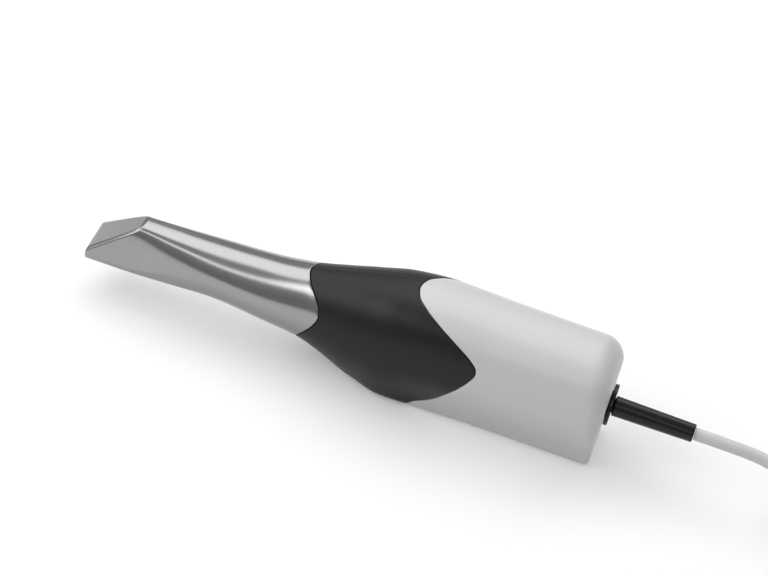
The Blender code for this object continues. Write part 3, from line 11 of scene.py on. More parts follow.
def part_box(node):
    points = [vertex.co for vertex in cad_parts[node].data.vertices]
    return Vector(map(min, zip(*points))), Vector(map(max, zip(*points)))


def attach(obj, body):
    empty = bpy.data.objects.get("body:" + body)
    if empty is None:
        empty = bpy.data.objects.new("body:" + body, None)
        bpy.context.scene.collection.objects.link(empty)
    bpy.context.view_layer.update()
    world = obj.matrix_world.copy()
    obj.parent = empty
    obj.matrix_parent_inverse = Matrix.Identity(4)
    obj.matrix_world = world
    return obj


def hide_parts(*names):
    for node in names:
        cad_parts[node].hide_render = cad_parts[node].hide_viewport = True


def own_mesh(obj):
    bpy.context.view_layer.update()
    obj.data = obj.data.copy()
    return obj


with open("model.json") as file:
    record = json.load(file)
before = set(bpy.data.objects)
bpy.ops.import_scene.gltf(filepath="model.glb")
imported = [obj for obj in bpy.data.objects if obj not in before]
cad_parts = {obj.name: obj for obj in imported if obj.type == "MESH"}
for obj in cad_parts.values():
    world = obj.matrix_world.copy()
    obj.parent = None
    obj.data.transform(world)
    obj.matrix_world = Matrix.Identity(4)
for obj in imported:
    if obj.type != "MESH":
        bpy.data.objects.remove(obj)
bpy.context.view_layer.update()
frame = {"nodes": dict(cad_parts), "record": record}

MM = 0.001

# Places along the handpiece are written from the tip, which lies here in the frame
TIP_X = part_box("sleeve_shell")[0].x
CABLE_HEIGHT = 28.6 * MM
HANDPIECE_LENGTH = 253.0 * MM

# Outer shape, with the same meaning as in the construction
TIP_ROUNDING = 0.9 * MM
FACET_LENGTH = 21.0 * MM
FACET_FRONT_HEIGHT = 22.1 * MM
FACET_REAR_HEIGHT = 38.6 * MM
SLEEVE_WALL = 0.8 * MM
GRIP_WALL = 2.4 * MM
BODY_WALL = 2.0 * MM
REAR_WALL = 2.4 * MM
REAR_FILLET_TOP = 13.0 * MM
REAR_FILLET_SIDE = 6.0 * MM
REAR_FILLET_FOOT = 1.6 * MM
SPIGOT_LENGTH = 5.0 * MM
SPIGOT_WALL = 1.4 * MM
EDGE_GAP = 0.4 * MM
FIT_GAP = 0.3 * MM
FLANK_HANDLE = 0.36
ROUND_HANDLE = 0.5523
RIDGE_SHARE = 0.12
EDGE_ROUNDING = 0.3 * MM
RIDGE_ROUNDING = 0.8 * MM
RIDGE_FILLET = 1.8 * MM

# Place from the tip (share of the length), top, bottom, half width (mm), height of the widest point (share),
# crown handles (shares), lean of the side (degrees), foot width and height (shares), lean of the foot
# (degrees), flat share
STATIONS = (
    (0, 40.5, 16.0, 11.7, 0.16, 0.66, 0.93, 15.7, 0.99, 0.10, 3, 0.78),
    (0.083, 40.5, 16.2, 11.9, 0.16, 0.66, 0.93, 15.7, 0.97, 0.10, 3, 0.78),
    (0.158, 40.6, 16.8, 12.5, 0.33, 0.64, 0.82, 9, 0.93, 0.12, 8, 0.70),
    (0.237, 41.2, 17.7, 14.0, 0.46, 0.59, 0.65, 3, 0.87, 0.14, 25, 0.50),
    (0.336, 43.0, 13.4, 15.9, 0.50, 0.56, 0.56, 0, 0.74, 0.15, 42, 0.20),
    (0.419, 46.8, 10.4, 17.45, 0.50, 0.55, 0.55, 0, 0.72, 0.15, 44, 0.10),
    (0.474, 50.6, 6.1, 20.0, 0.49, 0.57, 0.57, 0, 0.71, 0.14, 40, 0.22),
    (0.534, 54.7, 1.4, 23.3, 0.49, 0.60, 0.60, 0, 0.71, 0.12, 32, 0.43),
    (0.593, 57.6, 0.1, 25.3, 0.51, 0.67, 0.65, 0, 0.77, 0.10, 20, 0.58),
    (0.664, 58.7, 0.0, 25.5, 0.53, 0.73, 0.70, 0, 0.69, 0.08, 10, 0.67),
    (0.79, 57.8, 0.0, 25.0, 0.53, 0.75, 0.72, 0, 0.63, 0.07, 3, 0.70),
    (1, 57.4, 0.0, 24.8, 0.53, 0.75, 0.72, 0, 0.63, 0.07, 0, 0.70),
)

# Edges of the shells: angle from straight up about the spine (degrees), place from the tip (share)
SPINE_HEIGHT = 29.0 * MM
EDGE_ROUNDS = 10
SLEEVE_EDGE = (
    (0, 0.412), (24, 0.421), (45, 0.4403), (62, 0.4537), (71, 0.4561),
    (86, 0.4498), (104, 0.4368), (127, 0.423), (180, 0.409),
)
GRIP_EDGE = (
    (0, 0.6134), (12, 0.6198), (24, 0.6415), (35, 0.674), (45, 0.7115), (54, 0.7431), (61, 0.7577),
    (66, 0.7597), (76, 0.7522), (90, 0.7368), (106, 0.7194), (124, 0.7028), (134, 0.6877),
    (146, 0.6522), (180, 0.6206),
)
SLEEVE_FLARE = 0.332 * HANDPIECE_LENGTH

# Window, nose and its light port, as in the construction
WINDOW_START = 4.0 * MM
WINDOW_LENGTH = 17.0 * MM
WINDOW_WIDTH = 16.0 * MM
WINDOW_GLASS = 0.7 * MM
WINDOW_CORNER = 1.2 * MM
PANE_CORNER = 1.0 * MM
NOSE_CLEARANCE = 0.7 * MM
NOSE_WALL = 1.2 * MM
NOSE_FLANGE = 3.0 * MM
NOSE_NECK_INSET = 7.6 * MM
NOSE_SOFT_EDGE = 0.6 * MM
LIGHT_PORT_INSET = 0.7 * MM
LIGHT_PORT_LENGTH = 15.5 * MM
LIGHT_PORT_WIDTH = 14.0 * MM
LIGHT_PORT_CORNER = 0.8 * MM
COLLAR_LENGTH = 7.0 * MM
NOSE_LENGTH = max(place for _, place in SLEEVE_EDGE) * HANDPIECE_LENGTH + 5.6 * MM
NECK_FULL = NOSE_LENGTH - NOSE_FLANGE - 8.0 * MM
NECK_START = NECK_FULL - 6.0 * MM
COLLAR_START = min(place for _, place in SLEEVE_EDGE) * HANDPIECE_LENGTH - 5.5 * MM - COLLAR_LENGTH

# How far the tools that cut the openings reach: past the walls for the window and the light port, and to each
# side of the outer surface for the round holes
CUT_OUTSIDE = 3 * MM
CUT_INSIDE = 1 * MM
HOLE_REACH = 6 * MM
REAR_HOLE_OUTSIDE = 3 * MM

# Scan button, its light ring and its spring, as in the construction
BUTTON_PLACE = 0.53 * HANDPIECE_LENGTH
BUTTON_DIAMETER = 12.0 * MM
BUTTON_CAP = 1.8 * MM
BUTTON_RING_OUTER = 16.4 * MM
BUTTON_RING_DEPTH = 2.6 * MM
BUTTON_BOARD_DEPTH = 5.6 * MM
SWITCH_SIZE = 4.4 * MM
SPRING_WIRE = 0.5 * MM
SPRING_TURNS = 3.5
SPRING_TURN_STEPS = 24
SPRING_WIRE_POINTS = 8

# The cap's dome, its edge as rows of (mm inwards, share of the radius), its rear chamfer and its stem
CAP_DOME = 0.5 * MM
CAP_DOME_SHARE = 0.93
CAP_EDGE = ((-0.02, 0.935), (0.1, 0.965), (0.3, 0.99), (0.5, 1))
CAP_CHAMFER = 0.15 * MM
CAP_STEM = 1.5 * MM

# The light ring's edges lie this deep, and it swells outwards by this much between them
RING_EDGE = 0.1 * MM
RING_SWELL = 0.4 * MM

# Gland and strain relief; the relief has a neck inside the gland and a mouth that the cable leaves by
GLAND_SHANK = 12.4 * MM
GLAND_FLANGE = 2.0 * MM
GLAND_BORE_RADIUS = 3.5 * MM
RELIEF_LENGTH = 38.6 * MM
RELIEF_NECK_RADIUS = 3.2 * MM
RELIEF_ROOT_RADIUS = 4.8 * MM
RELIEF_END_RADIUS = 4.3 * MM
RELIEF_MOUTH_RADIUS = 3.1 * MM

# Number of points in each stretch of a half girth, and of steps round a rounded edge
RIDGE_STEPS = 14
CROWN_STEPS = 46
FLANK_STEPS = 24
CORNER_STEPS = 12
FLAT_STEPS = 8
ROUNDING_STEPS = 4

# Cable: route points of the construction, in metres in the frame
CABLE_DIAMETER = 6.0 * MM
CABLE_ROUTE = (
    (0.1474, 0.0, 0.0286), (0.1580, 0.0, 0.0286), (0.1680, 0.0, 0.0285), (0.1770, 0.0, 0.0281),
    (0.1860, -0.0012, 0.0273), (0.1950, -0.0042, 0.0261), (0.2040, -0.0080, 0.0246),
    (0.2130, -0.0117, 0.0233), (0.2212, -0.0144, 0.0225), (0.2300, -0.0155, 0.0221),
    (0.2400, -0.0155, 0.0221),
)
TAIL_ROUTE = (
    (0.2828, 0.0305, 0.0221), (0.2770, 0.0309, 0.0222), (0.2710, 0.0322, 0.0226), (0.2665, 0.0333, 0.0230),
    (0.2640, 0.0335, 0.0231),
)

# Plug: middle of its rear face, size, and outline as rows of (distance from that face, how far it lies inside
# the full size) in mm, for each groove from the groove's start
PLUG_REAR = (0.2637, 0.0335, 0.0231)
PLUG_SIZE = (0.0220, 0.0120, 0.0080)
PLUG_CORNER = 2.6 * MM
PLUG_REAR_ROWS = [(0, 2.1), (0.4, 1.5), (1.2, 0.8), (2.6, 0.25), (4.2, 0)]
PLUG_GROOVES = [5.4 + 1.9 * k for k in range(5)]
PLUG_GROOVE_ROWS = [(0, 0), (0.3, 0.38), (0.8, 0.38), (1.1, 0)]
PLUG_FRONT_ROWS = [(20.8, 0), (21.5, 0.2), (21.9, 0.6), (22.0, 1.0)]
PLUG_SHELL_SIZE = (0.0067, 0.0083, 0.0026)
PLUG_SHELL_WALL = 0.0003

# Tie round the hank: its two ends along x, and how thick it is
TIE_PLACE = (0.2235, 0.2315)
TIE_THICKNESS = 0.0005

# The hank: its middle, its straight runs, the fold radii of its two columns, the lowest and highest points of
# its three layers, and the spacing of the cable's points
HANK_CENTRE = (0.2520, 0.0105)
HANK_RUN = 0.0615
HANK_FOLDS = (0.0200, 0.0260)
HANK_LOW = 0.0008
HANK_TOP = 0.0188
HANK_STEP = 0.0025

# Fold radius and height of each turn, and how far it bulges outwards as it changes over to the next one along
# the run on the camera's side
HANK_TURNS = (
    (0.0260, 0.0221, 0.0), (0.0260, 0.0158, 0.0), (0.0260, 0.0098, 0.0022), (0.0260, 0.0038, 0.0),
    (0.0200, 0.0038, -0.0022), (0.0200, 0.0098, 0.0), (0.0200, 0.0158, 0.0), (0.0200, 0.0221, 0.0),
)

# Camera of the photograph: angles in radians, and a target whose x is written from the tip
CAMERA_YAW = 0.1014
CAMERA_ELEVATION = 0.7128
CAMERA_ROLL = 0.3348
CAMERA_TARGET = (139.258 * MM, 0.0, 50.04 * MM)
CAMERA_DISTANCE = 1.2355
CAMERA_LENS = 126.65
SENSOR_WIDTH = 36.0

# Floor: its colour, its own light, how far it reaches each way, and its height
FLOOR_GREY = 0.8
FLOOR_GLOW = 0.22
FLOOR_REACH = 6.0
FLOOR_HEIGHT = -0.0002

# Light from all round, by its angle in degrees from straight up, positive towards the camera's side
STUDIO_LEVEL = 0.44
STUDIO_LEVELS = (
    (-100, 1.05), (-72, 1.05), (-58, 1.05), (-48, 1.10), (-5, 1.10), (12, 0.75), (36, 0.75), (48, 0.42),
    (78, 0.40), (100, 0.70),
)

# Soft boxes, which face the middle of the handpiece with its strain relief: place, size, power
STUDIO_MIDDLE = (0.0, 0.0, 0.03)
SOFT_BOXES = {
    "key": ((-0.50, 0.80, 1.38), (3.3, 1.1), 20.0),
    "ceiling": ((-0.60, -0.72, 1.43), (3.6, 0.3), 6.0),
    "side": ((-1.15, -0.62, 1.05), (0.9, 0.9), 6.5),
}


# Shape of the handpiece, worked out on arrays

def monotone_slopes(places, values):
    """Slopes of a smooth curve through the points that never swings past them."""
    steps = np.diff(places)
    rises = np.diff(values) / steps
    slopes = np.zeros(len(places))
    slopes[0] = rises[0]
    slopes[-1] = rises[-1]
    for k in range(1, len(places) - 1):
        if rises[k - 1] * rises[k] > 0:
            before = 2 * steps[k] + steps[k - 1]
            after = steps[k] + 2 * steps[k - 1]
            slopes[k] = (before + after) / (before / rises[k - 1] + after / rises[k])
    return slopes


def smooth_value(place, places, values, slopes):
    """The value at a place of the smooth curve with these points and slopes."""
    k = int(np.clip(np.searchsorted(places, place) - 1, 0, len(places) - 2))
    step = places[k + 1] - places[k]
    t = min(max((place - places[k]) / step, 0.0), 1.0)
    start = (1 + 2 * t) * (1 - t) ** 2 * values[k] + t * (1 - t) ** 2 * step * slopes[k]
    return start + t * t * (3 - 2 * t) * values[k + 1] + t * t * (t - 1) * step * slopes[k + 1]


STATION_PLACES = np.array([row[0] for row in STATIONS]) * HANDPIECE_LENGTH
STATION_VALUES = np.array([row[1:] for row in STATIONS], dtype=float).T
STATION_VALUES[:3] *= MM
STATION_SLOPES = [monotone_slopes(STATION_PLACES, values) for values in STATION_VALUES]


def section_values(place):
    """The columns of STATIONS at any place."""
    return [
        smooth_value(place, STATION_PLACES, values, slopes)
        for values, slopes in zip(STATION_VALUES, STATION_SLOPES)
    ]


def edge_curve(points):
    """An edge as a function of the angle from straight up, level where it crosses the top."""
    mirrored = [(-points[1][0], points[1][1])] + list(points)
    angles = np.radians([p[0] for p in mirrored])
    places = np.array([p[1] for p in mirrored]) * HANDPIECE_LENGTH
    slopes = monotone_slopes(angles, places)
    return lambda angle: smooth_value(angle, angles, places, slopes)


sleeve_edge = edge_curve(SLEEVE_EDGE)
grip_edge = edge_curve(GRIP_EDGE)


def bezier(a, b, c, d, t):
    """Points of a cubic curve at the parameters t."""
    t = np.asarray(t, dtype=float)[:, None]
    return (1 - t) ** 3 * a + 3 * (1 - t) ** 2 * t * b + 3 * (1 - t) * t * t * c + t**3 * d


FACET_ANGLE = math.atan2(FACET_REAR_HEIGHT - FACET_FRONT_HEIGHT, FACET_LENGTH)


def facet_height(place):
    """Height of the slanted facet, which cuts the top off near the tip."""
    return FACET_FRONT_HEIGHT + math.tan(FACET_ANGLE) * place


def ridge_parameter(crown, height):
    """Parameter of the crown's curve at the facet's ridge, RIDGE_SHARE at least."""
    low = 0.0
    high = 1.0
    for _ in range(30):
        middle = (low + high) / 2
        if bezier(*crown, [middle])[0, 1] > height:
            low = middle
        else:
            high = middle
    return max(low, RIDGE_SHARE)


# Parameters of the points, closer together next to the ridge of the facet
RIDGE_T = 1 - (1 - np.arange(RIDGE_STEPS) / RIDGE_STEPS) ** 1.5
CROWN_T = (np.arange(CROWN_STEPS) / CROWN_STEPS) ** 1.35
FLANK_T = np.arange(FLANK_STEPS) / FLANK_STEPS
CORNER_T = np.arange(CORNER_STEPS) / CORNER_STEPS
FLAT_T = np.arange(FLAT_STEPS + 1) / FLAT_STEPS
HALF_POINTS = RIDGE_STEPS + CROWN_STEPS + FLANK_STEPS + CORNER_STEPS + FLAT_STEPS + 1
CROWN_END = RIDGE_STEPS + CROWN_STEPS
FLANK_END = CROWN_END + FLANK_STEPS


def rounded_cut(heights, cut_height):
    """Heights cut off at one level, with the edge of the cut rounded."""
    near = np.maximum(1 - np.abs(heights - cut_height) / RIDGE_ROUNDING, 0)
    return np.minimum(heights, cut_height) - near**2 * RIDGE_ROUNDING / 4


def rounded_corner(points, corner, below):
    """Points of an outline with its corner between a level top and the flank below it filleted."""
    reach = max(min(RIDGE_FILLET, corner[0]), 1e-9)
    away = np.hypot(*(points - corner).T)
    share = np.clip((reach - away) / (2 * reach), 0, 0.5)
    down = (below - corner) / max(np.hypot(*(below - corner)), 1e-9)
    return points + (share**2 * reach)[:, None] * (down - (1.0, 0.0))


def half_section(place, shrink=0.0, floor=0.0):
    """The outline of one side at a place, top to bottom, as rows of (half width, height)."""
    values = section_values(place)
    top, bottom, width, side, handle_top, handle_side, lean, foot_width, foot_height, foot_lean, flat = values
    top -= shrink
    bottom = max(bottom + shrink, floor)
    width -= shrink
    cut_height = facet_height(place) - shrink / math.cos(FACET_ANGLE)
    height = top - bottom
    crest = np.array([0.0, top])
    widest = np.array([width, bottom + side * height])
    knee = np.array([width * foot_width, bottom + foot_height * height])
    foot = np.array([knee[0] * flat, bottom])
    lean_up = np.array([-math.tan(math.radians(lean)), 1.0])
    lean_down = np.array([-math.sin(math.radians(foot_lean)), -math.cos(math.radians(foot_lean))])
    rise = top - widest[1]
    crown = (crest, crest + [handle_top * width, 0.0], widest + lean_up * handle_side * rise, widest)
    fall = FLANK_HANDLE * (widest[1] - knee[1])
    knee_handle = lean_down * ROUND_HANDLE * (knee[1] - bottom)
    foot_handle = [ROUND_HANDLE * (knee[0] - foot[0]), 0.0]
    ridge = ridge_parameter(crown, cut_height)
    upper = bezier(*crown, np.concatenate([ridge * RIDGE_T, ridge + (1 - ridge) * CROWN_T]))
    corner, below = bezier(*crown, np.array([ridge, ridge + (1 - ridge) * 0.02]))
    upper[:, 1] = rounded_cut(upper[:, 1], cut_height)
    upper = rounded_corner(upper, corner, below)
    return np.vstack([
        upper,
        bezier(widest, widest - [0.0, fall], knee - lean_down * fall, knee, FLANK_T),
        bezier(knee, knee + knee_handle, foot + foot_handle, foot, CORNER_T),
        foot + (np.array([0.0, bottom]) - foot) * FLAT_T[:, None],
    ])


def outward_normals(points):
    along = np.gradient(points, axis=0)
    along[0] = (1.0, 0.0)
    along[-1] = (-1.0, 0.0)
    normals = np.column_stack([-along[:, 1], along[:, 0]])
    return normals / np.linalg.norm(normals, axis=1)[:, None]


# The outer shape read once, at closely spaced places, for rings whose points lie at their own places
TABLE_STEP = 0.5 * MM
TABLE_PLACES = np.arange(0, HANDPIECE_LENGTH + TABLE_STEP / 2, TABLE_STEP)
TABLE = np.array([half_section(x) for x in TABLE_PLACES])
TABLE_NORMALS = np.array([outward_normals(outline) for outline in TABLE])


def edge_half(places, inset=0.0):
    """Points of a half outline that lie at their own places, moved inwards by an inset for each."""
    places = np.broadcast_to(places, HALF_POINTS)
    inset = np.broadcast_to(inset, HALF_POINTS)
    at = np.clip(places / TABLE_STEP, 0, len(TABLE_PLACES) - 1.001)
    k = at.astype(int)
    t = (at - k)[:, None]
    j = np.arange(HALF_POINTS)
    points = TABLE[k, j] * (1 - t) + TABLE[k + 1, j] * t
    normals = TABLE_NORMALS[k, j] * (1 - t) + TABLE_NORMALS[k + 1, j] * t
    moved = points - normals * inset[:, None]
    moved[0, 0] = 0.0
    moved[-1, 0] = 0.0
    return moved, places


def ring(half, places):
    """A closed ring in the frame: down the near side (-Y) and up the far side."""
    x = np.broadcast_to(places, HALF_POINTS) + TIP_X
    near = np.column_stack([x, -half[:, 0], half[:, 1]])
    far = np.column_stack([x, half[:, 0], half[:, 1]])
    return np.vstack([near, far[-2:0:-1]])


def edge_ring(places, inset=0.0):
    return ring(*edge_half(places, inset))


def level_ring(place, shrink=0.0, floor=0.0):
    return ring(half_section(place, shrink, floor), place)


def places_along(edge, gap=0.0):
    """Places of the points of a ring along an edge, or a gap behind it, measured square to the edge."""
    places = np.full(HALF_POINTS, edge(0))
    for _ in range(EDGE_ROUNDS):
        points = edge_half(places)[0]
        places = np.array([edge(math.atan2(across, up - SPINE_HEIGHT)) for across, up in points])
    girth_steps = np.linalg.norm(np.gradient(points, axis=0), axis=1)
    return places + gap * np.hypot(1, np.gradient(places) / girth_steps)


def between(first, last, t):
    return first * (1 - t) + last * t


def quarter(steps):
    """Rows round a quarter of a circle of a share that rises from 0 to 1 and one that falls from 1 to 0."""
    angles = [math.pi / 2 * k / steps for k in range(steps + 1)]
    return [(1 - math.cos(a), 1 - math.sin(a)) for a in angles]


def rounding(radius):
    """Rows of (distance back from the end face, distance inwards) round an edge, from its side inwards."""
    return [(radius * fall, radius * rise) for rise, fall in quarter(ROUNDING_STEPS)]


# Helpers for objects and meshes

def new_object(name, data):
    made = bpy.data.objects.new(name, data)
    bpy.context.scene.collection.objects.link(made)
    return made


def new_piece(name, bm, material, smooth_angle=40):
    """The mesh as an object, smooth except at edges sharper than the angle in degrees."""
    bmesh.ops.recalc_face_normals(bm, faces=bm.faces)
    mesh = bpy.data.meshes.new(name)
    bm.to_mesh(mesh)
    bm.free()
    mesh.materials.append(material)
    piece = new_object(name, mesh)
    mesh.shade_smooth()
    mesh.set_sharp_from_angle(angle=math.radians(smooth_angle))
    return piece


def loft(name, rings, material, closed=False, wall=0, smooth_angle=40):
    """A skin through rings: capped at its ends, closed on itself, or a cup with a wall between two rings."""
    bm = bmesh.new()
    rows = [[bm.verts.new(point) for point in loop] for loop in rings]
    count = len(rows[0])
    pairs = list(zip(rows, rows[1:]))
    caps = [] if closed else [rows[0], rows[-1]]
    if closed:
        pairs.append((rows[-1], rows[0]))
    if wall:
        pairs.remove((rows[wall - 1], rows[wall]))
        caps = [rows[wall - 1], rows[wall]]
    for first, second in pairs:
        for i in range(count):
            j = (i + 1) % count
            bm.faces.new((first[i], first[j], second[j], second[i]))
    for cap in caps:
        bm.faces.new(cap)
    return new_piece(name, bm, material, smooth_angle)


def turned(name, profile, material, start, axis, steps=96):
    """A solid of revolution through rows of (distance along the axis, radius)."""
    axis = Vector(axis).normalized()
    turn = Vector((0, 0, 1)).rotation_difference(axis).to_matrix()
    start = Vector(start)
    bm = bmesh.new()
    rows = []
    for along, radius in profile:
        if radius == 0:
            rows.append([bm.verts.new(start + turn @ Vector((0, 0, along)))])
            continue
        row = []
        for k in range(steps):
            angle = 2 * math.pi * k / steps
            spot = Vector((radius * math.cos(angle), radius * math.sin(angle), along))
            row.append(bm.verts.new(start + turn @ spot))
        rows.append(row)
    pairs = list(zip(rows, rows[1:]))
    if profile[0][1] != 0 or profile[-1][1] != 0:
        pairs.append((rows[-1], rows[0]))
    for first, second in pairs:
        for k in range(steps):
            j = (k + 1) % steps
            near = [first[k], first[j]] if len(first) > 1 else [first[0]]
            far = [second[j], second[k]] if len(second) > 1 else [second[0]]
            bm.faces.new(near + far)
    return new_piece(name, bm, material)


def box_piece(name, low, high, material, corner):
    """A box with its upright edges rounded."""
    bm = bmesh.new()
    bmesh.ops.create_cube(bm, size=1.0)
    bmesh.ops.scale(bm, vec=Vector(high) - Vector(low), verts=bm.verts)
    bmesh.ops.translate(bm, vec=(Vector(high) + Vector(low)) / 2, verts=bm.verts)
    upright = [e for e in bm.edges if abs((e.verts[0].co - e.verts[1].co).normalized().z) > 0.9]
    bmesh.ops.bevel(bm, geom=upright, offset=corner, segments=5, profile=0.5, affect="EDGES")
    return new_piece(name, bm, material, smooth_angle=35)


def cut(piece, tool, smooth_angle):
    """The tool is cut out of the piece, and removed."""
    modifier = piece.modifiers.new("cut", "BOOLEAN")
    modifier.operation = "DIFFERENCE"
    modifier.solver = "EXACT"
    modifier.object = tool
    shaped = bpy.data.meshes.new_from_object(piece.evaluated_get(bpy.context.evaluated_depsgraph_get()))
    piece.modifiers.clear()
    before = piece.data
    piece.data = shaped
    bpy.data.meshes.remove(before)
    bpy.data.objects.remove(tool)
    shaped.shade_smooth()
    shaped.set_sharp_from_angle(angle=math.radians(smooth_angle))


def rounded_profile(points, radius, steps=4):
    """The profile with every corner between its two ends rounded, as (distance, radius) rows."""
    made = [points[0]]
    for before, corner, after in zip(points, points[1:], points[2:]):
        corner = Vector(corner)
        back = Vector(before) - corner
        ahead = Vector(after) - corner
        reach = min(radius, back.length * 0.45, ahead.length * 0.45)
        start = corner + back.normalized() * reach
        end = corner + ahead.normalized() * reach
        for k in range(steps + 1):
            t = k / steps
            spot = start * (1 - t) ** 2 + corner * 2 * t * (1 - t) + end * t * t
            made.append((spot.x, spot.y))
    made.append(points[-1])
    return made


# Materials

def material_of(name, colour, roughness, metallic, grain, mottle, settings=()):
    """A procedural material: fine grain as bump, and a slow mottle in roughness and colour.

    grain is (size in metres, strength) or None, mottle is (size in metres, share of roughness, share of
    colour), and settings are rows of (name of a shader input, value).
    """
    material = bpy.data.materials.new(name)
    material.use_nodes = True
    nodes = material.node_tree.nodes
    links = material.node_tree.links
    shader = nodes["Principled BSDF"]
    shader.inputs["Base Color"].default_value = (*colour, 1.0)
    shader.inputs["Roughness"].default_value = roughness
    shader.inputs["Metallic"].default_value = metallic
    for socket, value in settings:
        shader.inputs[socket].default_value = value
    place = nodes.new("ShaderNodeTexCoord")

    def noise_of(size, detail):
        noise = nodes.new("ShaderNodeTexNoise")
        noise.inputs["Scale"].default_value = 1 / size
        noise.inputs["Detail"].default_value = detail
        links.new(place.outputs["Object"], noise.inputs["Vector"])
        return noise.outputs["Fac"]

    if grain:
        bump = nodes.new("ShaderNodeBump")
        bump.inputs["Strength"].default_value = grain[1]
        bump.inputs["Distance"].default_value = grain[0] * 0.3
        links.new(noise_of(grain[0], 3.0), bump.inputs["Height"])
        links.new(bump.outputs["Normal"], shader.inputs["Normal"])
    slow = noise_of(mottle[0], 4.0)
    rough = nodes.new("ShaderNodeMapRange")
    rough.inputs["From Min"].default_value = 0.3
    rough.inputs["From Max"].default_value = 0.7
    rough.inputs["To Min"].default_value = roughness * (1 - mottle[1])
    rough.inputs["To Max"].default_value = roughness * (1 + mottle[1])
    links.new(slow, rough.inputs["Value"])
    links.new(rough.outputs["Result"], shader.inputs["Roughness"])
    ramp = nodes.new("ShaderNodeValToRGB")
    low, high = ramp.color_ramp.elements
    low.position = 0.3
    high.position = 0.7
    low.color = (*[c * (1 - mottle[2]) for c in colour], 1.0)
    high.color = (*[min(1.0, c * (1 + mottle[2])) for c in colour], 1.0)
    links.new(slow, ramp.inputs["Fac"])
    links.new(ramp.outputs["Color"], shader.inputs["Base Color"])
    return material


STEEL = material_of("satin_steel", (0.32, 0.32, 0.32), 0.20, 1.0, (0.00025, 0.12), (0.02, 0.06, 0.015))
WHITE = material_of(
    "white_plastic", (0.61, 0.61, 0.615), 0.34, 0.0, (0.0006, 0.03), (0.03, 0.06, 0.01),
    (("IOR", 1.48),),
)
GRIP = material_of(
    "black_grip", (0.011, 0.011, 0.012), 0.40, 0.0, (0.00035, 0.15), (0.015, 0.06, 0.06),
    (("IOR", 1.45), ("Specular IOR Level", 0.32)),
)
BUTTON = material_of("button_black", (0.03, 0.03, 0.032), 0.32, 0.0, (0.0003, 0.08), (0.01, 0.08, 0.05))
RELIEF = material_of(
    "black_relief", (0.005, 0.005, 0.0055), 0.27, 0.0, (0.0004, 0.08), (0.008, 0.1, 0.08),
    (("Specular IOR Level", 0.34),),
)
TIE = material_of("tie_strap", (0.02, 0.02, 0.021), 0.75, 0.0, (0.0003, 0.5), (0.002, 0.1, 0.2))
CABLE = material_of("grey_cable", (0.60, 0.60, 0.605), 0.42, 0.0, (0.0005, 0.08), (0.01, 0.08, 0.02))
BRIGHT = material_of("bright_steel", (0.66, 0.66, 0.67), 0.22, 1.0, (0.0003, 0.06), (0.004, 0.1, 0.03))
ALUMINIUM = material_of("milled_aluminium", (0.70, 0.71, 0.72), 0.34, 1.0, (0.0004, 0.1), (0.006, 0.1, 0.03))
PLASTIC = material_of("black_plastic", (0.035, 0.035, 0.037), 0.5, 0.0, (0.0005, 0.15), (0.01, 0.08, 0.05))
MIRROR = material_of("mirror_coat", (0.9, 0.9, 0.91), 0.03, 1.0, None, (0.01, 0.1, 0.01))
COPPER = material_of("copper_wire", (0.72, 0.38, 0.2), 0.3, 1.0, (0.0004, 0.4), (0.003, 0.1, 0.05))
NICKEL = material_of("magnet_nickel", (0.6, 0.59, 0.57), 0.25, 1.0, (0.0004, 0.05), (0.005, 0.1, 0.03))
BOARD = material_of("circuit_board", (0.02, 0.16, 0.08), 0.38, 0.0, (0.0006, 0.15), (0.003, 0.1, 0.1))
CHIP = material_of("chip_black", (0.02, 0.02, 0.021), 0.4, 0.0, (0.0003, 0.15), (0.004, 0.1, 0.05))
GUIDE = material_of(
    "light_guide", (0.86, 0.88, 0.9), 0.3, 0.0, (0.0004, 0.05), (0.004, 0.05, 0.01),
    (("Subsurface Weight", 0.2), ("Subsurface Radius", (0.001, 0.001, 0.001))),
)
GLASS = material_of(
    "optical_glass", (0.92, 0.96, 0.96), 0.03, 0.0, None, (0.01, 0.1, 0.005),
    (("Transmission Weight", 1.0), ("IOR", 1.5)),
)

SLOT_MATERIALS = {
    "satin_steel": STEEL, "bright_steel": BRIGHT, "white_plastic": WHITE, "black_grip": GRIP,
    "black_plastic": PLASTIC, "aluminium": ALUMINIUM, "optical_glass": GLASS, "mirror_coat": MIRROR,
    "copper_wire": COPPER, "magnet_nickel": NICKEL, "circuit_board": BOARD, "chip_black": CHIP,
    "light_guide": GUIDE, "black_relief": RELIEF, "grey_cable": CABLE,
}


def dress_frame():
    """Every node of the frame takes the material of its slot."""
    for row in frame["record"]["subparts"]:
        node = frame["nodes"][row["node"]]
        node.data.materials.clear()
        node.data.materials.append(SLOT_MATERIALS[row["material_slot"]])
        node.data.shade_smooth()
        node.data.set_sharp_from_angle(angle=math.radians(35))


def seat(piece, body, slot, *nodes):
    """The piece moves with a body and stands in for these nodes of the frame; the slot is not used."""
    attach(piece, body)
    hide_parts(*nodes)


# Shells, nose and scan button

def button_frame():
    """The point on the underside and the inward direction of the button's axis, in the frame."""
    step = 4 * MM
    rise = section_values(BUTTON_PLACE + step)[1] - section_values(BUTTON_PLACE - step)[1]
    point = Vector((TIP_X + BUTTON_PLACE, 0, section_values(BUTTON_PLACE)[1]))
    return point, Vector((-rise, 0, 2 * step)).normalized()


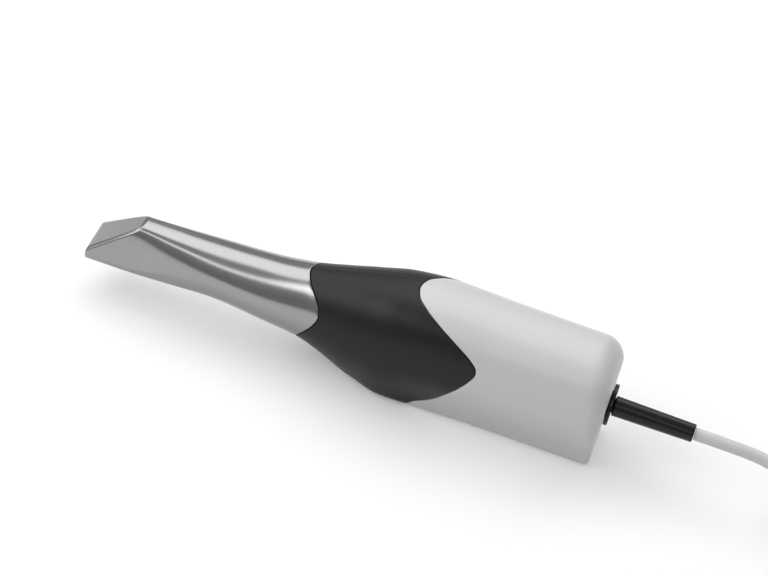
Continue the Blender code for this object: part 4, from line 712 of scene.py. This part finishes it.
def make_sleeve():
    """The steel sleeve, from its rounded tip along the outer skin and back inside, and its window."""
    rings = [level_ring(TIP_ROUNDING * rise, TIP_ROUNDING * fall) for rise, fall in quarter(6)]
    fine = np.arange(FACET_LENGTH - 2 * MM, FACET_LENGTH + 4 * MM, 0.15 * MM)
    places = list(np.arange(2 * MM, fine[0], 1 * MM)) + list(fine)
    places += list(np.arange(26 * MM, SLEEVE_FLARE, 1.5 * MM))
    rings += [level_ring(x) for x in places]
    rear = places_along(sleeve_edge)
    front = np.full(HALF_POINTS, SLEEVE_FLARE)
    steps = 22
    lip = rear - EDGE_ROUNDING
    rings += [edge_ring(between(front, lip, k / steps)) for k in range(steps)]
    rings += [edge_ring(rear - back, inwards) for back, inwards in rounding(EDGE_ROUNDING)]
    inner_edge = reversed(rounding(EDGE_ROUNDING * 0.7))
    rings += [edge_ring(rear - back, SLEEVE_WALL - inwards) for back, inwards in inner_edge]
    rings += [edge_ring(between(front, lip, t), SLEEVE_WALL) for t in (0.8, 0.6, 0.4, 0.2)]
    inside = [74, 64, 56, 47, 38, 31, 26, 24, 22.5, 21.5, 20.5, 19, 12, 6]
    rings += [level_ring(x, SLEEVE_WALL) for x in [SLEEVE_FLARE] + [x * MM for x in inside]]
    rings.append(level_ring(TIP_ROUNDING + SLEEVE_WALL, SLEEVE_WALL))
    sleeve = loft("steel_sleeve", rings, STEEL, smooth_angle=30)
    side = WINDOW_WIDTH / 2
    floor = section_values(WINDOW_START)[1]
    start = TIP_X + WINDOW_START
    low = (start, -side, floor - CUT_OUTSIDE)
    high = (start + WINDOW_LENGTH, side, floor + SLEEVE_WALL + CUT_INSIDE)
    cut(sleeve, box_piece("window_tool", low, high, STEEL, WINDOW_CORNER), smooth_angle=30)
    seat(sleeve, "sleeve", "satin_steel", "sleeve_shell")
    low = (start + FIT_GAP, FIT_GAP - side, floor + FIT_GAP)
    high = (start + WINDOW_LENGTH - FIT_GAP, side - FIT_GAP, floor + FIT_GAP + WINDOW_GLASS)
    pane = box_piece("window_pane", low, high, GLASS, PANE_CORNER)
    seat(pane, "sleeve", "optical_glass", "sleeve_window")


def nose_inset(place):
    """How far inside the outer shape the nose lies: more and more from the facet to the collar."""
    near_tip = SLEEVE_WALL + NOSE_CLEARANCE
    t = min(max((place - FACET_LENGTH) / (COLLAR_START - FACET_LENGTH), 0.0), 1.0)
    return between(near_tip, GRIP_WALL + 2 * FIT_GAP, t)


def nose_floor(place):
    """Lowest level of the nose, so that the sleeve can be pulled off over it."""
    ahead = np.linspace(place, max(place, sleeve_edge(math.pi)), 12)
    return max(section_values(x)[1] for x in ahead) + SLEEVE_WALL + NOSE_CLEARANCE


def nose_ring(place, wall=0.0):
    return level_ring(place, nose_inset(place) + wall, nose_floor(place) + wall)


def make_nose():
    """The nose that carries the sleeve, with its light port, and the collar on its root."""
    front = TIP_ROUNDING + SLEEVE_WALL + NOSE_CLEARANCE
    soft = NOSE_SOFT_EDGE
    flange = NOSE_LENGTH - NOSE_FLANGE
    rings = [
        level_ring(front + soft * rise, nose_inset(front) + soft * fall, nose_floor(front))
        for rise, fall in quarter(4)
    ]
    fine = np.arange(FACET_LENGTH - 2 * MM, FACET_LENGTH + 4 * MM, 0.4 * MM)
    places = list(np.arange(4 * MM, fine[0], 2 * MM)) + list(fine)
    places += list(np.arange(27 * MM, NECK_START, 3 * MM)) + [NECK_START]
    rings += [nose_ring(x) for x in places]
    neck = (nose_inset(NECK_START), NOSE_NECK_INSET)
    for t in (0.25, 0.5, 0.75, 1.0):
        smooth = t * t * (3 - 2 * t)
        x = between(NECK_START, NECK_FULL, t)
        rings.append(level_ring(x, between(*neck, smooth), between(nose_floor(NECK_START), 0, smooth)))
    rings.append(level_ring(flange, NOSE_NECK_INSET))
    rings.append(edge_ring(flange, GRIP_WALL + FIT_GAP))
    rings.append(edge_ring(NOSE_LENGTH, GRIP_WALL + FIT_GAP))
    rings.append(level_ring(NOSE_LENGTH, NOSE_NECK_INSET + NOSE_WALL))
    rings.append(level_ring(NECK_FULL, NOSE_NECK_INSET + NOSE_WALL))
    inside = [NECK_START, COLLAR_START] + [x * HANDPIECE_LENGTH for x in (0.308, 0.237, 0.134)]
    inside += [24 * MM, 21.5 * MM, 20 * MM]
    rings += [nose_ring(x, NOSE_WALL) for x in inside]
    rings.append(nose_ring(front + NOSE_WALL, NOSE_WALL))
    nose = loft("nose_cover", rings, PLASTIC, smooth_angle=35)
    side = LIGHT_PORT_WIDTH / 2
    floor = nose_floor(FACET_LENGTH)
    start = TIP_X + WINDOW_START + LIGHT_PORT_INSET
    low = (start, -side, floor - CUT_OUTSIDE)
    high = (start + LIGHT_PORT_LENGTH, side, floor + NOSE_WALL + CUT_INSIDE)
    cut(nose, box_piece("port_tool", low, high, PLASTIC, LIGHT_PORT_CORNER), smooth_angle=35)
    seat(nose, "root", "black_plastic", "nose_tube")
    ends = (COLLAR_START, COLLAR_START + COLLAR_LENGTH)
    outer = SLEEVE_WALL + FIT_GAP
    front_edge = reversed(rounding(NOSE_SOFT_EDGE))
    rings = [edge_ring(ends[0] + ahead, outer + inwards) for ahead, inwards in front_edge]
    rings += [edge_ring(between(*ends, t), outer) for t in (0.3, 0.6)]
    rings += [edge_ring(ends[1] - back, outer + inwards) for back, inwards in rounding(EDGE_ROUNDING)]
    rings += [level_ring(x, nose_inset(x) - FIT_GAP, nose_floor(x) - FIT_GAP) for x in reversed(ends)]
    seat(loft("locating_collar", rings, PLASTIC, closed=True), "root", "black_plastic", "nose_collar")


def make_grip():
    """The black grip with its spigot, which goes into the body, and the hole for the scan button."""
    start = places_along(sleeve_edge, EDGE_GAP)
    end = places_along(grip_edge)
    spigot = BODY_WALL + FIT_GAP
    rings = [edge_ring(start + ahead, inwards) for ahead, inwards in reversed(rounding(EDGE_ROUNDING))]
    steps = 56
    first = start + EDGE_ROUNDING
    last = end - EDGE_ROUNDING
    rings += [edge_ring(between(first, last, k / steps)) for k in range(1, steps)]
    rings += [edge_ring(end - back, inwards) for back, inwards in rounding(EDGE_ROUNDING)]
    rings += [edge_ring(end, spigot), edge_ring(end + SPIGOT_LENGTH, spigot)]
    bore = spigot + SPIGOT_WALL
    rings += [edge_ring(end + SPIGOT_LENGTH, bore), edge_ring(end - SPIGOT_LENGTH, bore)]
    rings += [edge_ring(between(start, end, t), GRIP_WALL) for t in (0.85, 0.7, 0.55, 0.4, 0.25, 0.1, 0.0)]
    grip = loft("grip_cover", rings, GRIP, closed=True, smooth_angle=35)
    point, inward = button_frame()
    radius = BUTTON_RING_OUTER / 2 + FIT_GAP
    profile = [(-HOLE_REACH, 0), (-HOLE_REACH, radius), (HOLE_REACH, radius), (HOLE_REACH, 0)]
    cut(grip, turned("button_tool", profile, GRIP, point, inward), smooth_angle=35)
    seat(grip, "root", "black_grip", "grip_shell")


def rear_fillet():
    """Fillet of the rear edge at each point of the half girth: largest at the top, small at the foot."""
    crown = np.concatenate([RIDGE_SHARE * RIDGE_T, RIDGE_SHARE + (1 - RIDGE_SHARE) * CROWN_T])
    sizes = np.full(HALF_POINTS, REAR_FILLET_FOOT)
    sizes[:CROWN_END] = between(REAR_FILLET_TOP, REAR_FILLET_SIDE, crown**1.5)
    sizes[CROWN_END:FLANK_END] = between(REAR_FILLET_SIDE, REAR_FILLET_FOOT, FLANK_T)
    return sizes


def make_button():
    """The scan button's domed cap and the light ring round it."""
    point, inward = button_frame()
    cap = BUTTON_DIAMETER / 2
    steps = 10
    profile = []
    for k in range(steps):
        angle = math.pi / 2 * k / steps
        profile.append((-CAP_DOME * math.cos(angle), cap * CAP_DOME_SHARE * k / steps))
    profile += [(along * MM, cap * share) for along, share in CAP_EDGE]
    profile += [(BUTTON_CAP - CAP_CHAMFER, cap), (BUTTON_CAP, cap - CAP_CHAMFER), (BUTTON_CAP, CAP_STEM)]
    stem_end = (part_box("scan_button")[1].z - point.z) / inward.z - FIT_GAP
    profile += [(stem_end, CAP_STEM), (stem_end, 0)]
    seat(turned("scan_cap", profile, BUTTON, point, inward), "button", "black_grip", "scan_button")
    inner = cap + FIT_GAP
    outer = BUTTON_RING_OUTER / 2
    steps = 12
    halo = [
        (RING_EDGE - RING_SWELL * math.sin(math.pi * k / steps), between(inner, outer, k / steps))
        for k in range(steps + 1)
    ]
    halo += [(BUTTON_RING_DEPTH, outer), (BUTTON_RING_DEPTH, inner)]
    seat(turned("button_halo", halo, GUIDE, point, inward), "root", "light_guide", "button_ring")


def make_spring():
    """The button's return spring."""
    point, inward = button_frame()
    turn = Vector((0, 0, 1)).rotation_difference(inward).to_matrix()
    wire = SPRING_WIRE / 2
    radius = SWITCH_SIZE / math.sqrt(2) + wire + FIT_GAP
    start = BUTTON_CAP + FIT_GAP
    end = BUTTON_BOARD_DEPTH - FIT_GAP
    steps = round(SPRING_TURNS * SPRING_TURN_STEPS)
    rings = []
    for k in range(steps + 1):
        angle = 2 * math.pi * SPRING_TURNS * k / steps
        along = between(start + wire, end - wire, k / steps)
        out = Vector((math.cos(angle), math.sin(angle), 0))
        loop = []
        for j in range(SPRING_WIRE_POINTS):
            around = 2 * math.pi * j / SPRING_WIRE_POINTS
            rise = Vector((0, 0, along + wire * math.sin(around)))
            loop.append(point + turn @ (out * (radius + wire * math.cos(around)) + rise))
        rings.append(loop)
    spring = loft("return_spring", rings, BRIGHT)
    seat(spring, "root", "bright_steel", "button_spring")
    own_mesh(spring)


def make_body():
    """The white body with its rounded rear end and the hole for the cable's gland."""
    start = places_along(grip_edge, EDGE_GAP)
    fillet = rear_fillet()
    straight = np.full(HALF_POINTS, HANDPIECE_LENGTH - REAR_FILLET_TOP)
    rings = [edge_ring(start + ahead, inwards) for ahead, inwards in reversed(rounding(EDGE_ROUNDING))]
    steps = 40
    first = start + EDGE_ROUNDING
    rings += [edge_ring(between(first, straight, k / steps)) for k in range(1, steps)]
    rings += [edge_ring(HANDPIECE_LENGTH - fillet * fall, fillet * rise) for rise, fall in quarter(14)]
    wall = len(rings)
    inner_end = HANDPIECE_LENGTH - REAR_WALL
    rings.append(edge_ring(inner_end, fillet + BODY_WALL))
    rings.append(edge_ring(inner_end - fillet[0] * 0.4, fillet * 0.3 + BODY_WALL))
    rings.append(edge_ring(inner_end - fillet[0], BODY_WALL))
    inner = np.full(HALF_POINTS, inner_end - fillet[0])
    rings += [edge_ring(between(inner, start + SPIGOT_LENGTH, t), BODY_WALL) for t in (0.3, 0.6, 1.0)]
    rings.append(edge_ring(start, BODY_WALL))
    body = loft("body_cover", rings, WHITE, closed=True, wall=wall, smooth_angle=35)
    radius = GLAND_SHANK / 2 + FIT_GAP
    profile = [(-HOLE_REACH, 0), (-HOLE_REACH, radius), (REAR_HOLE_OUTSIDE, radius), (REAR_HOLE_OUTSIDE, 0)]
    rear = (TIP_X + HANDPIECE_LENGTH, 0, CABLE_HEIGHT)
    cut(body, turned("cable_tool", profile, WHITE, rear, (1, 0, 0)), smooth_angle=35)
    seat(body, "root", "white_plastic", "body_shell")


# Cable, its tie and its plug

def smooth_route(route, spacing):
    """Points at about equal spacing along a smooth curve through the given points."""
    points = [Vector(p) for p in route]
    path = []
    for i in range(len(points) - 1):
        before = points[i - 1] if i else points[0] * 2 - points[1]
        after = points[i + 2] if i + 2 < len(points) else points[-1] * 2 - points[-2]
        start = points[i]
        end = points[i + 1]
        steps = max(1, round((end - start).length / spacing))
        for k in range(steps):
            t = k / steps
            near = start * 2 + (end - before) * t + (before * 2 - start * 5 + end * 4 - after) * t * t
            path.append((near + (start * 3 - before - end * 3 + after) * t**3) / 2)
    path.append(points[-1])
    return path


def change_over(first, second, start):
    """Points along the near run, from its start at x, on which one turn changes over to the next."""
    end = HANK_CENTRE[0] + HANK_RUN / 2
    steps = round((end - start) / HANK_STEP)
    points = []
    for k in range(1, steps + 1):
        t = k / steps
        s = t * t * (3 - 2 * t)
        radius = between(first[0], second[0], s) + first[2] * math.sin(math.pi * t)
        height = between(first[1], second[1], s)
        points.append(Vector((between(start, end, t), HANK_CENTRE[1] - radius, height)))
    return points


def fold(radius, height, side):
    """Points of a half turn at one end of the hank; side is 1 at the end away from the handpiece."""
    steps = round(math.pi * radius / HANK_STEP)
    points = []
    for k in range(1, steps + 1):
        angle = math.pi * (k / steps - 0.5)
        x = HANK_CENTRE[0] + side * (HANK_RUN / 2 + radius * math.cos(angle))
        points.append(Vector((x, HANK_CENTRE[1] + side * radius * math.sin(angle), height)))
    return points


def hank_points():
    """The turns of the hank: down its outer column, up its inner one, and half a turn on top of it."""
    points = []
    start = CABLE_ROUTE[-1][0]
    for first, second in zip(HANK_TURNS, HANK_TURNS[1:]):
        radius, height, _ = second
        points += change_over(first, second, start) + fold(radius, height, 1)
        start = HANK_CENTRE[0] - HANK_RUN / 2
        if second is not HANK_TURNS[-1]:
            steps = round(HANK_RUN / HANK_STEP)
            y = HANK_CENTRE[1] + radius
            points += [Vector((start + HANK_RUN * (1 - k / steps), y, height)) for k in range(1, steps + 1)]
            points += fold(radius, height, -1)
    return points


def make_cable():
    """The whole cable as one curve: out of the relief, through the hank and into the plug."""
    path = smooth_route(CABLE_ROUTE, CABLE_DIAMETER * 0.7) + hank_points()
    path += smooth_route(TAIL_ROUTE, CABLE_DIAMETER * 0.5)[1:]
    curve = bpy.data.curves.new("cable_cord", "CURVE")
    curve.dimensions = "3D"
    curve.bevel_depth = CABLE_DIAMETER / 2
    curve.bevel_resolution = 6
    curve.use_fill_caps = True
    spline = curve.splines.new("POLY")
    spline.points.add(len(path) - 1)
    for point, spot in zip(spline.points, path):
        point.co = (*spot, 1.0)
    spline.use_smooth = True
    curve.materials.append(CABLE)
    cord = new_object("cable_cord", curve)
    seat(cord, "root", "grey_cable", "cable", "cable_hank", "cable_tail")


def rounded_rectangle(x, y0, y1, z0, z1, radius, steps):
    """A loop of points at one x, with round corners."""
    points = []
    for y, z, start in ((y1, z1, 0), (y0, z1, 90), (y0, z0, 180), (y1, z0, 270)):
        middle_y = y - math.copysign(radius, y - (y0 + y1) / 2)
        middle_z = z - math.copysign(radius, z - (z0 + z1) / 2)
        for k in range(steps + 1):
            angle = math.radians(start + 90 * k / steps)
            points.append((x, middle_y + radius * math.cos(angle), middle_z + radius * math.sin(angle)))
    return points


def plug_ring(middle, x, half_wide, half_high, radius, steps):
    sides = (middle.y - half_wide, middle.y + half_wide)
    return rounded_rectangle(x, *sides, middle.z - half_high, middle.z + half_high, radius, steps)


def make_tie():
    """A thin strap round the three layers of the hank's far run."""
    half = CABLE_DIAMETER / 2
    low = HANK_CENTRE[1] + HANK_FOLDS[0] - half
    high = HANK_CENTRE[1] + HANK_FOLDS[1] + half
    start, end = TIE_PLACE
    soft = TIE_THICKNESS * 0.4
    rings = []
    across = ((0, 0), (0, 0.5), (0.4, 1), (1, 1))
    sections = [(start + soft * along, rise) for along, rise in across]
    sections += [(end - soft * along, rise) for along, rise in across[::-1]]
    for x, rise in sections:
        reach = FIT_GAP + TIE_THICKNESS * rise
        sides = (low - reach, high + reach)
        rings.append(rounded_rectangle(x, *sides, HANK_LOW - reach, HANK_TOP + reach, half + reach, 6))
    seat(loft("hank_tie", rings, TIE, closed=True), "root", "black_relief", "cable_tie")


def make_plug():
    """The moulded plug with grip grooves and its metal sleeve."""
    length, wide, high = PLUG_SIZE
    rear = Vector(PLUG_REAR)
    rows = list(PLUG_REAR_ROWS)
    for groove in PLUG_GROOVES:
        rows += [(groove + along, inset) for along, inset in PLUG_GROOVE_ROWS]
    rings = []
    for along, inset in rows + PLUG_FRONT_ROWS:
        half_wide = wide / 2 - inset * MM
        half_high = high / 2 - inset * MM * 0.8
        corner = PLUG_CORNER - inset * MM * 0.4
        rings.append(plug_ring(rear, rear.x - along * MM, half_wide, half_high, corner, 6))
    seat(loft("plug_grip", rings, RELIEF), "root", "black_relief", "plug_housing")
    shell_length, shell_wide, shell_high = PLUG_SHELL_SIZE
    face = rear.x - length - FIT_GAP
    end = face - shell_length
    soft = PLUG_SHELL_WALL * 0.4
    rings = []
    for x, inset in (
        (face, 0), (end + soft, 0), (end, soft), (end, PLUG_SHELL_WALL - soft), (end + soft, PLUG_SHELL_WALL),
        (face, PLUG_SHELL_WALL),
    ):
        half_high = shell_high / 2 - inset
        rings.append(plug_ring(rear, x, shell_wide / 2 - inset, half_high, half_high * 0.98, 10))
    seat(loft("plug_sleeve", rings, BRIGHT, closed=True), "root", "bright_steel", "plug_shell")


# Gland and strain relief

def make_gland():
    """The gland's disc on the rear end and its hollow shank."""
    low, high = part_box("cable_gland")
    radius = (high.z - low.z) / 2
    shank = GLAND_SHANK / 2
    face = high.x - GLAND_FLANGE
    profile = [
        (low.x, GLAND_BORE_RADIUS), (low.x, shank), (face, shank), (face, radius), (high.x, radius),
        (high.x, GLAND_BORE_RADIUS),
    ]
    profile = rounded_profile(profile, 0.5 * MM)
    disc = turned("gland_disc", profile, RELIEF, (0, 0, CABLE_HEIGHT), (1, 0, 0), 120)
    seat(disc, "root", "black_relief", "cable_gland")


def make_strain_relief():
    low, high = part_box("strain_relief")
    start = high.x - RELIEF_LENGTH
    profile = [
        (low.x, 0), (low.x, RELIEF_NECK_RADIUS), (start, RELIEF_NECK_RADIUS), (start, RELIEF_ROOT_RADIUS),
        (high.x - 0.01 * MM, RELIEF_END_RADIUS), (high.x, RELIEF_MOUTH_RADIUS), (high.x, 0),
    ]
    profile = rounded_profile(profile, 1.1 * MM, 5)
    relief = turned("relief_sleeve", profile, RELIEF, (0, 0, CABLE_HEIGHT), (1, 0, 0))
    seat(relief, "root", "black_relief", "strain_relief")


# Studio and camera

def math_node(nodes, operation):
    made = nodes.new("ShaderNodeMath")
    made.operation = operation
    return made


def make_floor():
    """A plain pale floor that keeps its shadows, with a little light of its own where it is seen."""
    bm = bmesh.new()
    bmesh.ops.create_grid(bm, x_segments=1, y_segments=1, size=FLOOR_REACH)
    mesh = bpy.data.meshes.new("floor")
    bm.to_mesh(mesh)
    bm.free()
    floor = new_object("floor", mesh)
    floor.location.z = FLOOR_HEIGHT
    material = bpy.data.materials.new("floor_paper")
    material.use_nodes = True
    nodes = material.node_tree.nodes
    links = material.node_tree.links
    shader = nodes["Principled BSDF"]
    shader.inputs["Base Color"].default_value = (FLOOR_GREY, FLOOR_GREY, FLOOR_GREY, 1.0)
    shader.inputs["Roughness"].default_value = 0.9
    shader.inputs["Specular IOR Level"].default_value = 0.1
    path = nodes.new("ShaderNodeLightPath")
    seen = path.outputs["Is Camera Ray"]
    for ray in ("Is Glossy Ray", "Is Transmission Ray"):
        either = math_node(nodes, "MAXIMUM")
        links.new(seen, either.inputs[0])
        links.new(path.outputs[ray], either.inputs[1])
        seen = either.outputs["Value"]
    scale = math_node(nodes, "MULTIPLY")
    scale.inputs[1].default_value = FLOOR_GLOW
    links.new(seen, scale.inputs[0])
    glow = nodes.new("ShaderNodeEmission")
    glow.inputs["Color"].default_value = (1.0, 1.0, 1.0, 1.0)
    links.new(scale.outputs["Value"], glow.inputs["Strength"])
    both = nodes.new("ShaderNodeAddShader")
    links.new(shader.outputs["BSDF"], both.inputs[0])
    links.new(glow.outputs["Emission"], both.inputs[1])
    links.new(both.outputs["Shader"], nodes["Material Output"].inputs["Surface"])
    mesh.materials.append(material)


def soft_box(name, place, size, power):
    data = bpy.data.lights.new(name, "AREA")
    data.shape = "RECTANGLE"
    data.size, data.size_y = size
    data.energy = power
    light = new_object(name, data)
    light.location = place
    light.rotation_euler = (Vector(STUDIO_MIDDLE) - Vector(place)).to_track_quat("-Z", "Y").to_euler()


def make_studio():
    """Soft light from all round, dimmer towards the camera, and the soft boxes."""
    world = bpy.data.worlds.new("studio")
    bpy.context.scene.world = world
    world.use_nodes = True
    nodes = world.node_tree.nodes
    links = world.node_tree.links
    background = nodes["Background"]
    background.inputs["Strength"].default_value = STUDIO_LEVEL
    place = nodes.new("ShaderNodeTexCoord")
    parts = nodes.new("ShaderNodeSeparateXYZ")
    links.new(place.outputs["Generated"], parts.inputs["Vector"])
    # The angle becomes a place on the ramp: 0.5 is straight up, and both ends are straight down
    front = math_node(nodes, "MULTIPLY")
    front.inputs[1].default_value = -1.0
    links.new(parts.outputs["Y"], front.inputs[0])
    angle = math_node(nodes, "ARCTAN2")
    links.new(front.outputs["Value"], angle.inputs[0])
    links.new(parts.outputs["Z"], angle.inputs[1])
    share = nodes.new("ShaderNodeMapRange")
    share.inputs["From Min"].default_value = -math.pi
    share.inputs["From Max"].default_value = math.pi
    links.new(angle.outputs["Value"], share.inputs["Value"])
    ramp = nodes.new("ShaderNodeValToRGB")
    ramp.color_ramp.interpolation = "EASE"
    elements = ramp.color_ramp.elements
    while len(elements) > 1:
        elements.remove(elements[-1])
    for k, (degrees, level) in enumerate(STUDIO_LEVELS):
        spot = elements[0] if k == 0 else elements.new(0.5)
        spot.position = (degrees + 180) / 360
        spot.color = (level, level, level, 1.0)
    links.new(share.outputs["Result"], ramp.inputs["Fac"])
    links.new(ramp.outputs["Color"], background.inputs["Color"])
    for name, (place, size, power) in SOFT_BOXES.items():
        soft_box(name, place, size, power)


def make_camera():
    """The photograph's camera, from its fitted angles, distance and lens."""
    yaw, lift, roll = CAMERA_YAW, CAMERA_ELEVATION, CAMERA_ROLL
    back = Vector((math.sin(yaw), -math.cos(yaw) * math.cos(lift), math.cos(yaw) * math.sin(lift)))
    right = Vector((math.cos(yaw), math.sin(yaw) * math.cos(lift), -math.sin(yaw) * math.sin(lift)))
    up = Vector((0.0, math.sin(lift), math.cos(lift)))
    across = right * math.cos(roll) + up * math.sin(roll)
    upward = up * math.cos(roll) - right * math.sin(roll)
    data = bpy.data.cameras.new("photo_camera")
    data.lens = CAMERA_LENS
    data.sensor_width = SENSOR_WIDTH
    data.clip_start = 0.05
    data.clip_end = 20.0
    camera = new_object("photo_camera", data)
    target = Vector(CAMERA_TARGET) + Vector((TIP_X, 0, 0))
    rotation = Matrix((across, upward, back)).transposed().to_4x4()
    camera.matrix_world = Matrix.Translation(target + back * CAMERA_DISTANCE) @ rotation
    bpy.context.scene.camera = camera


bpy.context.scene.view_settings.view_transform = "Standard"
make_camera()
dress_frame()
make_tie()
make_plug()
make_cable()
make_sleeve()
make_nose()
make_grip()
make_button()
make_spring()
make_body()
make_gland()
make_strain_relief()
make_floor()
make_studio()
